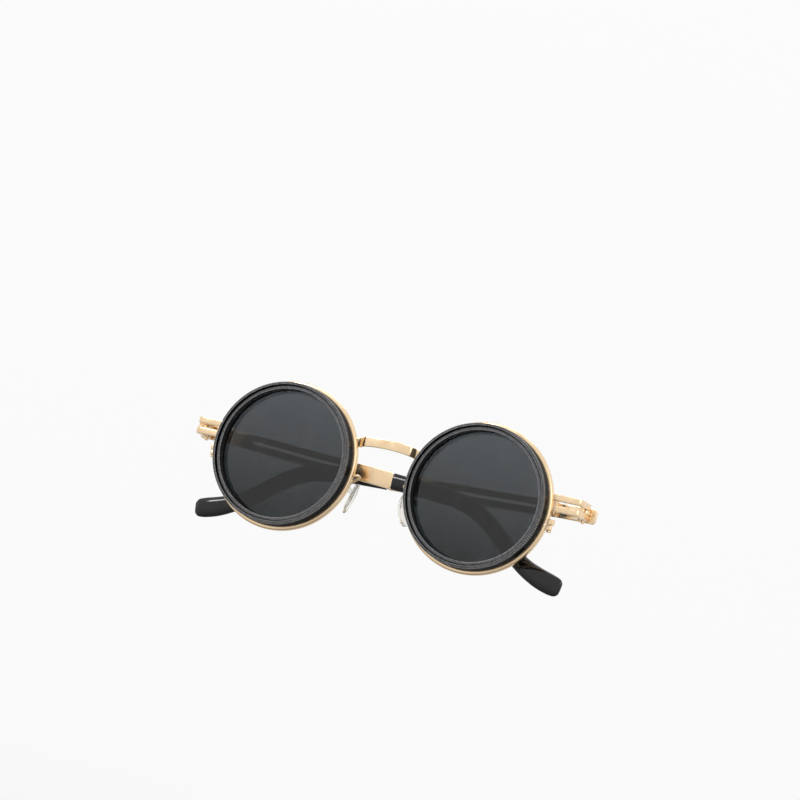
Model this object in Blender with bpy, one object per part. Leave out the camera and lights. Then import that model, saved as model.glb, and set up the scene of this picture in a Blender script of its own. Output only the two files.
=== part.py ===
"""Round metal spectacles with a screw-on tinted ring filter on each rim, temples folded.

Axes: X across the face (+X is the wearer's left), -Y is the front, +Z is up. The part stands on the
lowest points of its rims and temple tips. Sizes below are in millimetres; the scene is in metres.
Depth is counted from the front faces of the filter rings, height from the lens centre line.
"""

import math

import bmesh
import bpy
from mathutils import Matrix, Vector

MM = 0.001
SEGMENTS = 52

# Front
LENS_PITCH = 68.0
RIM_OUTER_R = 24.75
RIM_WALL = 1.7
RIM_LAND_WALL = 2.15
LENS_GROOVE_WALL = 1.4
RIM_FRONT = 5.0
RIM_EDGE_ROUND = 0.45
GROOVE_BACK = 2.0
GROOVE_HALF = 0.5
BACK_LIP = 0.1
LAND_AHEAD = 0.15
JOINT_GAP = 0.03
FRONT_Y = -10.24
RIM_BORE_R = RIM_OUTER_R - RIM_WALL
RIM_LAND_R = RIM_OUTER_R - RIM_LAND_WALL
LENS_GROOVE_R = RIM_OUTER_R - LENS_GROOVE_WALL
GROOVE_DEPTH = RIM_FRONT + GROOVE_BACK
RIM_BACK = GROOVE_DEPTH + GROOVE_HALF + BACK_LIP
LAND_FRONT = GROOVE_DEPTH - GROOVE_HALF - LAND_AHEAD
NOSE_HALF = LENS_PITCH / 2.0 - RIM_OUTER_R
RIM_EDGE_X = LENS_PITCH / 2.0 + RIM_OUTER_R

# Clear lens
CLEAR_EDGE_HALF = 0.4
CLEAR_FRONT_SAG = 1.1
CLEAR_BACK_SAG = 0.8
CLEAR_EDGE_SETBACK = 0.95
CLEAR_CLEARANCE = 0.15

# Filter
LIP_SETBACK = 1.25
LIP_LENGTH = 1.5
LIP_WALL = 0.88
LIP_CHAMFER = 0.3
BORE_CHAMFER = 0.12
NECK_CUT = 0.3
NECK_TAPER = 0.25
FLARE_OUT = 0.2
FLARE_RUN = (2.5, 0.6)
RETAINER_CLEARANCE = 0.07
RETAINER_WALL = 1.3
RETAINER_FRONT = 1.0
LENS_STEP = 0.6
LENS_AHEAD = 1.1
LENS_CLEARANCE = 0.05
FILTER_LENS_THICK = 1.3
LENS_CHAMFER = 0.15
SEAT_WIDTH = 0.75
SEAL_SPACE = 0.4
SEAL_WIDTH = 0.6
THREAD_CLEARANCE = 0.15
SHOULDER_GAP = 0.06
SPIGOT_GAP = 0.15
LIP_R = RIM_OUTER_R - LIP_SETBACK
NECK_R = LIP_R - NECK_CUT
FLARE_R = LIP_R + FLARE_OUT
RETAINER_BORE_R = LIP_R - LIP_WALL
RETAINER_OUTER_R = RETAINER_BORE_R - RETAINER_CLEARANCE
RETAINER_INNER_R = RETAINER_OUTER_R - RETAINER_WALL
FILTER_LENS_R = RETAINER_OUTER_R - LENS_STEP
FILTER_LENS_FRONT = RIM_FRONT - LENS_AHEAD
SEAT_R = FILTER_LENS_R - SEAT_WIDTH
SEAT_DEPTH = FILTER_LENS_FRONT + FILTER_LENS_THICK + SEAL_SPACE
SPIGOT_R = RIM_BORE_R - THREAD_CLEARANCE
SPIGOT_END = LAND_FRONT - SPIGOT_GAP

# Bridge
BRIDGE_HEIGHT = 3.2
BRIDGE_THICK = 0.95
BRIDGE_UP = 9.45

# Closing block of each rim
SPLIT_HEIGHT = -3.5
SPLIT_GAP = 0.3
BLOCK_OUT = 0.55
BLOCK_REACH = 1.65
BLOCK_UPPER_OUT = 1.05
BLOCK_LOWER_OUT = 0.75
BLOCK_BACK = 1.3
RIM_SCREW_R = 0.5
RIM_SCREW_CLEARANCE = 0.05
RIM_SCREW_HEAD_R = 0.75
BLOCK_X = RIM_EDGE_X + BLOCK_OUT
BLOCK_DEPTH = RIM_FRONT + BLOCK_BACK

# End piece and hinge
BAR_HEIGHT = 2.1
BAR_SPACE = 1.4
BAR_THICK = 1.35
BAR_SETBACK = 1.1
BAR_ROOT = 2.15
CORNER_R = 1.8
CORNER_IN = 0.4
LINK_REACH = 1.25
HINGE_OUT = 8.15
HINGE_BACK = 9.5
HINGE_HEIGHT = 4.0
KNUCKLE_R = 1.4
KNUCKLE_GAP = 0.06
HINGE_SCREW_R = 0.6
HINGE_CLEARANCE = 0.05
HINGE_HEAD_R = 0.95
HINGE_HEAD_DEEP = 0.6
HINGE_X = RIM_EDGE_X + HINGE_OUT
HINGE_DEPTH = RIM_FRONT + HINGE_BACK
BAR_FRONT = RIM_FRONT + BAR_SETBACK
BAR_HIGH = (HINGE_HEIGHT + BAR_SPACE / 2.0, HINGE_HEIGHT + BAR_SPACE / 2.0 + BAR_HEIGHT)
BAR_LOW = (HINGE_HEIGHT - BAR_SPACE / 2.0 - BAR_HEIGHT, HINGE_HEIGHT - BAR_SPACE / 2.0)

# Temple, measured from the hinge axis: out, back and up while the temple is open
LEAF_GAP = 0.35
LEAF_THICK = 1.0
LEAF_HALF = 2.4
LEAF_HEEL = -3.4
LEAF_OVERLAP = 7.2
TEMPLE_THICK = 1.15
TEMPLE_GAP = 0.05
BAR_START = 9.0
BAR_LENGTH = 59.4
BAR_HALF = 2.75
BAR_FRONT_HALF = 2.45
SLOT_AFTER = 8.5
SLOT_BEFORE = 15.4
SLOT_HALF = 0.5
TANG_LENGTH = 23.6
TANG_HALF = 1.2
TANG_INSET = 0.2
SOCKET_CLEARANCE = 0.07
TIP_GAP = 0.1
TIP_HALF_THICK = 1.45
TEMPLE_SLOPE = math.tan(math.radians(2.7))
TEMPLE_DROP = 0.7
SLOPE_FROM = 3.0
RIVET_AFTER = 1.9
RIVET_SPREAD = 1.1
RIVET_R = 0.5
RIVET_CLEARANCE = 0.04
RIVET_DOME_R = 0.85
RIVET_DOME = 0.45
FOLD_LEFT = 88.5
FOLD_RIGHT = 91.8
LEAF_OUT = (KNUCKLE_R + LEAF_GAP, KNUCKLE_R + LEAF_GAP + LEAF_THICK)
LEAF_END = BAR_START + LEAF_OVERLAP
BAR_OUT = (LEAF_OUT[0] - TEMPLE_GAP - TEMPLE_THICK, LEAF_OUT[0] - TEMPLE_GAP)
BAR_END = BAR_START + BAR_LENGTH
SLOT_BACK = (BAR_START + SLOT_AFTER, BAR_END - SLOT_BEFORE)
TANG_END = BAR_END + TANG_LENGTH
TIP_START = BAR_END + TIP_GAP
TIP_MID_OUT = (BAR_OUT[0] + BAR_OUT[1]) / 2.0
RIVET_BACK = BAR_START + RIVET_AFTER

# Nose pads
PAD_SCREW_OUT = 3.45
PAD_SCREW_HEIGHT = -5.4
PAD_WIRE_R = 0.41
PAD_SETBACK = 4.7
PAD_EYE_THICK = 0.8
PAD_EYE_R = 1.45
PAD_LUG_THICK = 0.75
PAD_LUG_GAP = 0.05
PAD_SCREW_R = 0.5
PAD_SCREW_HEAD_R = 1.0
PAD_BORE_CLEARANCE = 0.06
PAD_EYE_CLEARANCE = 0.1
PAD_HALF = (1.15, 2.9, 5.3)
PAD_OUT = 0.35
PAD_DROP = 3.2
PAD_SCREW_X = NOSE_HALF + PAD_SCREW_OUT
PAD_DEPTH = RIM_FRONT + PAD_SETBACK
PAD_EYE = (PAD_DEPTH - PAD_EYE_THICK / 2.0, PAD_DEPTH + PAD_EYE_THICK / 2.0)
PAD_LUG = (PAD_EYE[1] + PAD_LUG_GAP, PAD_EYE[1] + PAD_LUG_GAP + PAD_LUG_THICK)

# Middle line of the tip: back from its start, up, half height
TIP_PATH = [(0.0, 0.0, 2.75), (3.5, 0.0, 2.7), (13.5, 0.0, 2.6), (21.5, -0.2, 2.6), (26.5, -0.8, 2.6)]
TIP_PATH += [(31.5, -2.4, 2.6), (36.5, -5.2, 2.6), (41.5, -8.9, 2.6), (46.5, -12.6, 2.65), (51.5, -15.5, 2.9)]
TIP_PATH += [(56.5, -17.4, 3.25), (61.0, -18.5, 3.3), (63.5, -18.9, 2.9), (64.7, -19.1, 1.9)]

# Pad wire: past the rim's inner edge, share of the way back to the pad, up from the pad screw
PAD_WIRE_PATH = [(1.35, 0.0, 3.8), (-0.25, 0.02, 4.0), (-1.0, 0.1, 4.1), (-1.35, 0.33, 4.1)]
PAD_WIRE_PATH += [(-1.2, 0.63, 3.9), (-0.45, 0.87, 3.4), (0.75, 0.97, 2.4), (1.95, 1.0, 1.3)]
PAD_WIRE_PATH += [(3.05, 1.0, 0.3)]

GOLD = (0.86, 0.66, 0.38, 1.0)
BLACK = (0.012, 0.012, 0.013, 1.0)
DARK_GREY = (0.05, 0.05, 0.052, 1.0)
SMOKE = (0.06, 0.065, 0.068, 1.0)
CLEAR = (0.9, 0.92, 0.92, 1.0)
RUBBER = (0.02, 0.02, 0.02, 1.0)


def clear_scene():
    """Removes whatever the start-up file holds."""
    for obj in list(bpy.data.objects):
        bpy.data.objects.remove(obj, do_unlink=True)


def principled(name, colour, metallic, roughness, transmission=0.0):
    """A plain Principled material."""
    material = bpy.data.materials.new(name)
    material.use_nodes = True
    shader = material.node_tree.nodes["Principled BSDF"]
    shader.inputs["Base Color"].default_value = colour
    shader.inputs["Metallic"].default_value = metallic
    shader.inputs["Roughness"].default_value = roughness
    shader.inputs["Transmission Weight"].default_value = transmission
    return material


def at(x, depth, height):
    """A point of the front in metres."""
    return Vector((x * MM, (depth + FRONT_Y) * MM, (height + RIM_OUTER_R) * MM))


def finish(name, bm, material, parent=None):
    """Makes a named object of a bmesh, with its faces pointing out."""
    bmesh.ops.recalc_face_normals(bm, faces=bm.faces[:])
    mesh = bpy.data.meshes.new(name)
    bm.to_mesh(mesh)
    bm.free()
    obj = bpy.data.objects.new(name, mesh)
    bpy.context.scene.collection.objects.link(obj)
    if material is not None:
        mesh.materials.append(material)
    if parent is not None:
        obj.parent = parent
    return obj


def axis_empty(name, place, turn=0.0):
    """An empty on a joint axis, which carries the pieces that move about it."""
    empty = bpy.data.objects.new(name, None)
    empty.location = place
    empty.rotation_euler = (0.0, 0.0, turn)
    bpy.context.scene.collection.objects.link(empty)
    return empty


def combine(obj, other, operation):
    """Adds a Boolean with a hidden helper object."""
    other.hide_render = True
    other.display_type = "WIRE"
    other.parent = obj.parent
    modifier = obj.modifiers.new(operation.title() + " " + other.name, "BOOLEAN")
    modifier.operation = operation
    modifier.solver = "EXACT"
    modifier.object = other


def turned(bm, profile, centre, segments=SEGMENTS):
    """Turns a profile of (radius, depth) about a lens axis. Points of radius 0 close it on the axis."""
    rows = []
    for radius, depth in profile:
        if radius == 0.0:
            rows.append([bm.verts.new(at(centre, depth, 0.0))])
            continue
        row = []
        for step in range(segments):
            angle = 2.0 * math.pi * step / segments
            row.append(bm.verts.new(at(centre + radius * math.cos(angle), depth, radius * math.sin(angle))))
        rows.append(row)
    on_axis = profile[0][0] == 0.0
    pairs = list(zip(rows, rows[1:])) if on_axis else list(zip(rows, rows[1:] + rows[:1]))
    for first, second in pairs:
        for step in range(segments):
            after = (step + 1) % segments
            corners = [first[step % len(first)], first[after % len(first)]]
            corners += [second[after % len(second)], second[step % len(second)]]
            unique = list(dict.fromkeys(corners))
            bm.faces.new(unique)


def split_ring(bm, profile, centre, start, stop, segments=SEGMENTS):
    """Turns a closed profile from one angle to another, in degrees, and caps both ends."""
    rows = []
    for step in range(segments + 1):
        angle = math.radians(start + (stop - start) * step / segments)
        row = []
        for radius, depth in profile:
            row.append(bm.verts.new(at(centre + radius * math.cos(angle), depth, radius * math.sin(angle))))
        rows.append(row)
    count = len(profile)
    for first, second in zip(rows, rows[1:]):
        for i in range(count):
            j = (i + 1) % count
            bm.faces.new((first[i], first[j], second[j], second[i]))
    bm.faces.new(rows[0])
    bm.faces.new(list(reversed(rows[-1])))


def lofted(bm, sections):
    """Skins a row of closed sections of equal length and caps the two ends."""
    rows = [[bm.verts.new(point) for point in section] for section in sections]
    count = len(rows[0])
    for first, second in zip(rows, rows[1:]):
        for i in range(count):
            j = (i + 1) % count
            bm.faces.new((first[i], first[j], second[j], second[i]))
    bm.faces.new(rows[0])
    bm.faces.new(list(reversed(rows[-1])))


def prism(bm, outline, low, high, place, round_by=0.0):
    """Extrudes a flat outline from low to high. place(a, b, level) turns the numbers into a point."""
    base = [bm.verts.new(place(a, b, low)) for a, b in outline]
    face = bm.faces.new(base)
    made = bmesh.ops.extrude_face_region(bm, geom=[face])
    shift = place(0.0, 0.0, high) - place(0.0, 0.0, low)
    top = [item for item in made["geom"] if isinstance(item, bmesh.types.BMVert)]
    bmesh.ops.translate(bm, verts=top, vec=shift)
    if round_by > 0.0:
        bm.normal_update()
        sharp = [edge for edge in bm.edges if edge.is_manifold and edge.calc_face_angle(0.0) > 0.7]
        bmesh.ops.bevel(
            bm, geom=sharp, offset=round_by * MM, segments=2, profile=0.5, affect="EDGES", clamp_overlap=True
        )


def rod(bm, place, radius, low, high, sides=24):
    """A cylinder whose axis runs along the third number of place."""
    outline = []
    for step in range(sides):
        angle = 2.0 * math.pi * step / sides
        outline.append((radius * math.cos(angle), radius * math.sin(angle)))
    prism(bm, outline, low, high, place)


def rounded_box(half_a, half_b, radius, steps=4):
    """The outline of a rectangle with round corners."""
    outline = []
    for quarter, (sign_a, sign_b) in enumerate(((1, 1), (-1, 1), (-1, -1), (1, -1))):
        for step in range(steps + 1):
            angle = math.radians(90.0 * quarter + 90.0 * step / steps)
            a = sign_a * (half_a - radius) + radius * math.cos(angle)
            b = sign_b * (half_b - radius) + radius * math.sin(angle)
            outline.append((a, b))
    return outline


def swept(bm, path, outline):
    """Sweeps an outline of (sideways, up) along a path of points in millimetres that stays about level."""
    sections = []
    for i, point in enumerate(path):
        before = Vector(path[max(i - 1, 0)])
        after = Vector(path[min(i + 1, len(path) - 1)])
        along = (after - before).normalized()
        up = Vector((0.0, 0.0, 1.0))
        side = along.cross(up).normalized()
        up = side.cross(along).normalized()
        section = []
        for across, rise in outline:
            spot = Vector(point) + side * across + up * rise
            section.append(at(*spot))
        sections.append(section)
    lofted(bm, sections)


def rim_core(name, side):
    """A plain cylinder just larger than the rim, which trims what is soldered to it."""
    bm = bmesh.new()
    radius, back = RIM_OUTER_R + JOINT_GAP, RIM_BACK + JOINT_GAP
    turned(bm, [(0.0, 2.0), (radius, 2.0), (radius, back), (0.0, back)], side * LENS_PITCH / 2.0)
    return finish(name, bm, None)


def build_bridge(gold):
    """The flat strap between the rims, bent forward at both ends."""
    half = []
    for share, back, up in ((0.0, -0.9, 0.9), (0.28, -0.85, 0.85), (0.56, -0.7, 0.7), (0.78, -0.5, 0.5)):
        half.append((share * NOSE_HALF, RIM_FRONT + back, BRIDGE_UP + up))
    bend = [(-1.25, -0.2, 0.4), (-0.55, 0.4, 0.3), (0.15, 1.0, 0.15), (1.05, 1.3, 0.0), (2.95, 1.35, -0.25)]
    for past, back, up in bend:
        half.append((NOSE_HALF + past, RIM_FRONT + back, BRIDGE_UP + up))
    path = [(-x, depth, height) for x, depth, height in reversed(half[1:])] + half
    bm = bmesh.new()
    swept(bm, path, rounded_box(BRIDGE_THICK / 2.0, BRIDGE_HEIGHT / 2.0, 0.3, 2))
    obj = finish("bridge", bm, gold)
    combine(obj, rim_core("bridge_trim_left", 1), "DIFFERENCE")
    combine(obj, rim_core("bridge_trim_right", -1), "DIFFERENCE")


def build_rim(word, side, gold, screw):
    """The eyewire with its closing block, and the screw that closes it."""
    centre = side * LENS_PITCH / 2.0
    edge = RIM_OUTER_R - RIM_EDGE_ROUND
    profile = [(RIM_BORE_R, RIM_FRONT), (edge, RIM_FRONT), (RIM_OUTER_R, RIM_FRONT + RIM_EDGE_ROUND)]
    profile += [(RIM_OUTER_R, RIM_BACK - 1.4 * RIM_EDGE_ROUND), (edge, RIM_BACK), (RIM_LAND_R, RIM_BACK)]
    profile += [(RIM_LAND_R, GROOVE_DEPTH + GROOVE_HALF), (LENS_GROOVE_R, GROOVE_DEPTH)]
    profile += [(RIM_LAND_R, GROOVE_DEPTH - GROOVE_HALF), (RIM_LAND_R, LAND_FRONT), (RIM_BORE_R, LAND_FRONT)]
    middle = (RIM_OUTER_R + RIM_BORE_R) / 2.0
    split = math.degrees(math.asin(SPLIT_HEIGHT / middle))
    half_gap = math.degrees(SPLIT_GAP / 2.0 / middle)
    start, stop = split + half_gap, split - half_gap + 360.0
    if side < 0:
        start, stop = 180.0 - start, 180.0 - stop
    bm = bmesh.new()
    split_ring(bm, profile, centre, start, stop)
    rim = finish(word + "_rim", bm, gold)

    def upright(a, b, level):
        return at(side * (BLOCK_X + a), BLOCK_DEPTH + b, SPLIT_HEIGHT + level)

    face = SPLIT_GAP / 2.0
    bm = bmesh.new()
    outline = [(-BLOCK_REACH, -1.1), (BLOCK_UPPER_OUT, -1.1), (BLOCK_UPPER_OUT, 1.1), (-BLOCK_REACH, 1.1)]
    prism(bm, outline, face, 2.0, upright, 0.25)
    combine(rim, finish(word + "_block_upper", bm, None), "UNION")
    bm = bmesh.new()
    outline = [(-BLOCK_REACH, -1.0), (BLOCK_LOWER_OUT, -1.0), (BLOCK_LOWER_OUT, 1.0), (-BLOCK_REACH, 1.0)]
    prism(bm, outline, -1.6, -face, upright, 0.25)
    combine(rim, finish(word + "_block_lower", bm, None), "UNION")
    bm = bmesh.new()
    rod(bm, upright, RIM_SCREW_R + RIM_SCREW_CLEARANCE, -3.5, 1.55, 20)
    combine(rim, finish(word + "_block_bore", bm, None), "DIFFERENCE")

    bm = bmesh.new()
    rod(bm, upright, RIM_SCREW_R, -1.9, 1.5, 20)
    shank = finish(word + "_rim_screw", bm, screw)
    bm = bmesh.new()
    rod(bm, upright, RIM_SCREW_HEAD_R, -2.25, -1.64, 20)
    combine(shank, finish(word + "_rim_screw_head", bm, None), "UNION")
    bm = bmesh.new()
    prism(bm, [(-1.2, -0.13), (1.2, -0.13), (1.2, 0.13), (-1.2, 0.13)], -2.5, -2.0, upright)
    combine(shank, finish(word + "_rim_screw_slot", bm, None), "DIFFERENCE")


def build_clear_lens(word, side, clear):
    """The lens that sits in the groove of the rim: a thin meniscus with a bevelled edge."""
    edge = LENS_GROOVE_R - CLEAR_EDGE_SETBACK
    front = GROOVE_DEPTH - CLEAR_EDGE_HALF - CLEAR_FRONT_SAG
    back = GROOVE_DEPTH + CLEAR_EDGE_HALF - CLEAR_BACK_SAG
    shares = (0.36, 0.67, 0.89, 1.0)
    profile = [(0.0, front)]
    for share in shares:
        profile.append((share * edge, front + CLEAR_FRONT_SAG * share**2))
    profile.append((LENS_GROOVE_R - CLEAR_CLEARANCE, GROOVE_DEPTH))
    for share in reversed(shares):
        profile.append((share * edge, back + CLEAR_BACK_SAG * share**2))
    profile.append((0.0, back))
    bm = bmesh.new()
    turned(bm, profile, side * LENS_PITCH / 2.0)
    finish(word + "_clear_lens", bm, clear)


def build_filter(word, side, black, grey, smoke, rubber):
    """The screw-on ring with its lens, its retaining ring and the seal behind the lens."""
    centre = side * LENS_PITCH / 2.0
    axis = axis_empty(word + "_filter_axis", (0.0, 0.0, 0.0))
    bore, shoulder = RETAINER_BORE_R, RIM_FRONT - SHOULDER_GAP
    pocket, ledge = FILTER_LENS_R + LENS_CLEARANCE, FILTER_LENS_FRONT - 0.02
    profile = [(bore, BORE_CHAMFER), (bore + BORE_CHAMFER, 0.0), (LIP_R - LIP_CHAMFER, 0.0)]
    profile += [(LIP_R, LIP_CHAMFER), (LIP_R, LIP_LENGTH), (NECK_R, LIP_LENGTH + NECK_TAPER)]
    profile += [(NECK_R, FLARE_RUN[0]), (FLARE_R, RIM_FRONT - FLARE_RUN[1]), (FLARE_R, shoulder)]
    profile += [(SPIGOT_R, shoulder), (SPIGOT_R, SPIGOT_END), (SEAT_R, SPIGOT_END)]
    profile += [(SEAT_R, SEAT_DEPTH), (pocket, SEAT_DEPTH), (pocket, ledge), (bore, ledge)]
    bm = bmesh.new()
    turned(bm, profile, centre)
    finish(word + "_filter_ring", bm, black, axis)

    inner, outer, back = RETAINER_INNER_R, RETAINER_OUTER_R, FILTER_LENS_FRONT - LENS_CLEARANCE
    profile = [(outer - 0.15, RETAINER_FRONT), (outer, RETAINER_FRONT + 0.15), (outer, back), (inner, back)]
    profile += [(inner, RETAINER_FRONT + 0.2), (inner + 0.2, RETAINER_FRONT)]
    bm = bmesh.new()
    turned(bm, profile, centre)
    finish(word + "_filter_retainer", bm, grey, axis)

    front, back, edge = FILTER_LENS_FRONT, FILTER_LENS_FRONT + FILTER_LENS_THICK, FILTER_LENS_R
    profile = [(0.0, front), (edge - LENS_CHAMFER, front), (edge, front + LENS_CHAMFER)]
    profile += [(edge, back - LENS_CHAMFER), (edge - LENS_CHAMFER, back), (0.0, back)]
    bm = bmesh.new()
    turned(bm, profile, centre)
    finish(word + "_filter_lens", bm, smoke, axis)

    low, high, inside = back + JOINT_GAP, SEAT_DEPTH - JOINT_GAP, FILTER_LENS_R - SEAL_WIDTH
    profile = [(inside, low), (FILTER_LENS_R, low), (FILTER_LENS_R, high), (inside, high)]
    bm = bmesh.new()
    turned(bm, profile, centre)
    finish(word + "_filter_seal", bm, rubber, axis)


def bar_outline():
    """One bar of the end piece seen from above: out from the rim, round the corner, back to its knuckle."""
    outer, inner = HINGE_X + KNUCKLE_R, HINGE_X + KNUCKLE_R - BAR_THICK
    front, back = BAR_FRONT, BAR_FRONT + BAR_THICK
    root = RIM_EDGE_X - BAR_ROOT
    outline = [(root, front)]
    for step in range(5):
        angle = math.radians(-90.0 + 90.0 * step / 4)
        across, along = CORNER_R * math.cos(angle), CORNER_R * math.sin(angle)
        outline.append((outer - CORNER_IN - CORNER_R + across, front + CORNER_R + along))
    for step in range(13):
        angle = math.radians(255.0 * step / 12)
        outline.append((HINGE_X + KNUCKLE_R * math.cos(angle), HINGE_DEPTH + KNUCKLE_R * math.sin(angle)))
    outline.append((inner, HINGE_DEPTH - 2.2))
    for step in range(4):
        angle = math.radians(-90.0 * step / 3)
        outline.append((inner - CORNER_IN - 0.6 + 0.6 * math.cos(angle), back + 0.6 + 0.6 * math.sin(angle)))
    outline.append((root, back))
    return outline


def build_end_piece(word, side, gold, screw):
    """The two bars with the small links between them, and the hinge screw."""

    def upright(a, b, level):
        return at(side * a, b, level)

    def on_axis(a, b, level):
        return at(side * (HINGE_X + a), HINGE_DEPTH + b, level)

    bm = bmesh.new()
    prism(bm, bar_outline(), BAR_HIGH[0], BAR_HIGH[1], upright, 0.25)
    piece = finish(word + "_end_piece", bm, gold)
    bm = bmesh.new()
    prism(bm, bar_outline(), BAR_LOW[0], BAR_LOW[1], upright, 0.25)
    combine(piece, finish(word + "_lower_bar", bm, None), "UNION")
    low, high = BAR_LOW[1] - 0.8, BAR_HIGH[0] + 0.8
    deep = (BAR_FRONT + 0.25, BAR_FRONT + BAR_THICK - 0.15)
    root, reach = RIM_EDGE_X - BAR_ROOT + 0.4, RIM_EDGE_X + LINK_REACH
    bm = bmesh.new()
    prism(bm, [(root, deep[0]), (reach, deep[0]), (reach, deep[1]), (root, deep[1])], low, high, upright)
    combine(piece, finish(word + "_rim_link", bm, None), "UNION")
    bm = bmesh.new()
    outer = HINGE_X + KNUCKLE_R - 0.8 * CORNER_IN
    wall = (outer - BAR_THICK + 0.15, outer - 0.2)
    run = (BAR_FRONT + CORNER_R + 0.3, BAR_FRONT + CORNER_R + 1.8)
    outline = [(wall[0], run[0]), (wall[1], run[0]), (wall[1], run[1]), (wall[0], run[1])]
    prism(bm, outline, low, high, upright)
    combine(piece, finish(word + "_corner_link", bm, None), "UNION")
    bm = bmesh.new()
    rod(bm, on_axis, HINGE_SCREW_R + HINGE_CLEARANCE, BAR_LOW[0] - 3.0, BAR_HIGH[1] + 3.0, 20)
    combine(piece, finish(word + "_hinge_bore", bm, None), "DIFFERENCE")
    top, seat = BAR_HIGH[1], BAR_HIGH[1] - HINGE_HEAD_DEEP
    bm = bmesh.new()
    rod(bm, on_axis, HINGE_HEAD_R + HINGE_CLEARANCE, seat - HINGE_CLEARANCE, top + 1.2, 24)
    combine(piece, finish(word + "_head_pocket", bm, None), "DIFFERENCE")
    combine(piece, rim_core(word + "_end_trim", side), "DIFFERENCE")

    bm = bmesh.new()
    rod(bm, on_axis, HINGE_SCREW_R, BAR_LOW[0] - 1.0, seat + 0.3, 20)
    shank = finish(word + "_hinge_screw", bm, screw)
    bm = bmesh.new()
    rod(bm, on_axis, HINGE_HEAD_R, seat, top - 0.02, 24)
    combine(shank, finish(word + "_hinge_screw_head", bm, None), "UNION")
    bm = bmesh.new()
    prism(bm, [(-1.5, -0.13), (1.5, -0.13), (1.5, 0.13), (-1.5, 0.13)], top - 0.3, top + 1.2, on_axis)
    combine(shank, finish(word + "_hinge_screw_slot", bm, None), "DIFFERENCE")


def lowered(back):
    """How far the middle of the temple lies below the middle of the hinge."""
    return -TEMPLE_DROP - TEMPLE_SLOPE * max(0.0, back - SLOPE_FROM)


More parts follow.
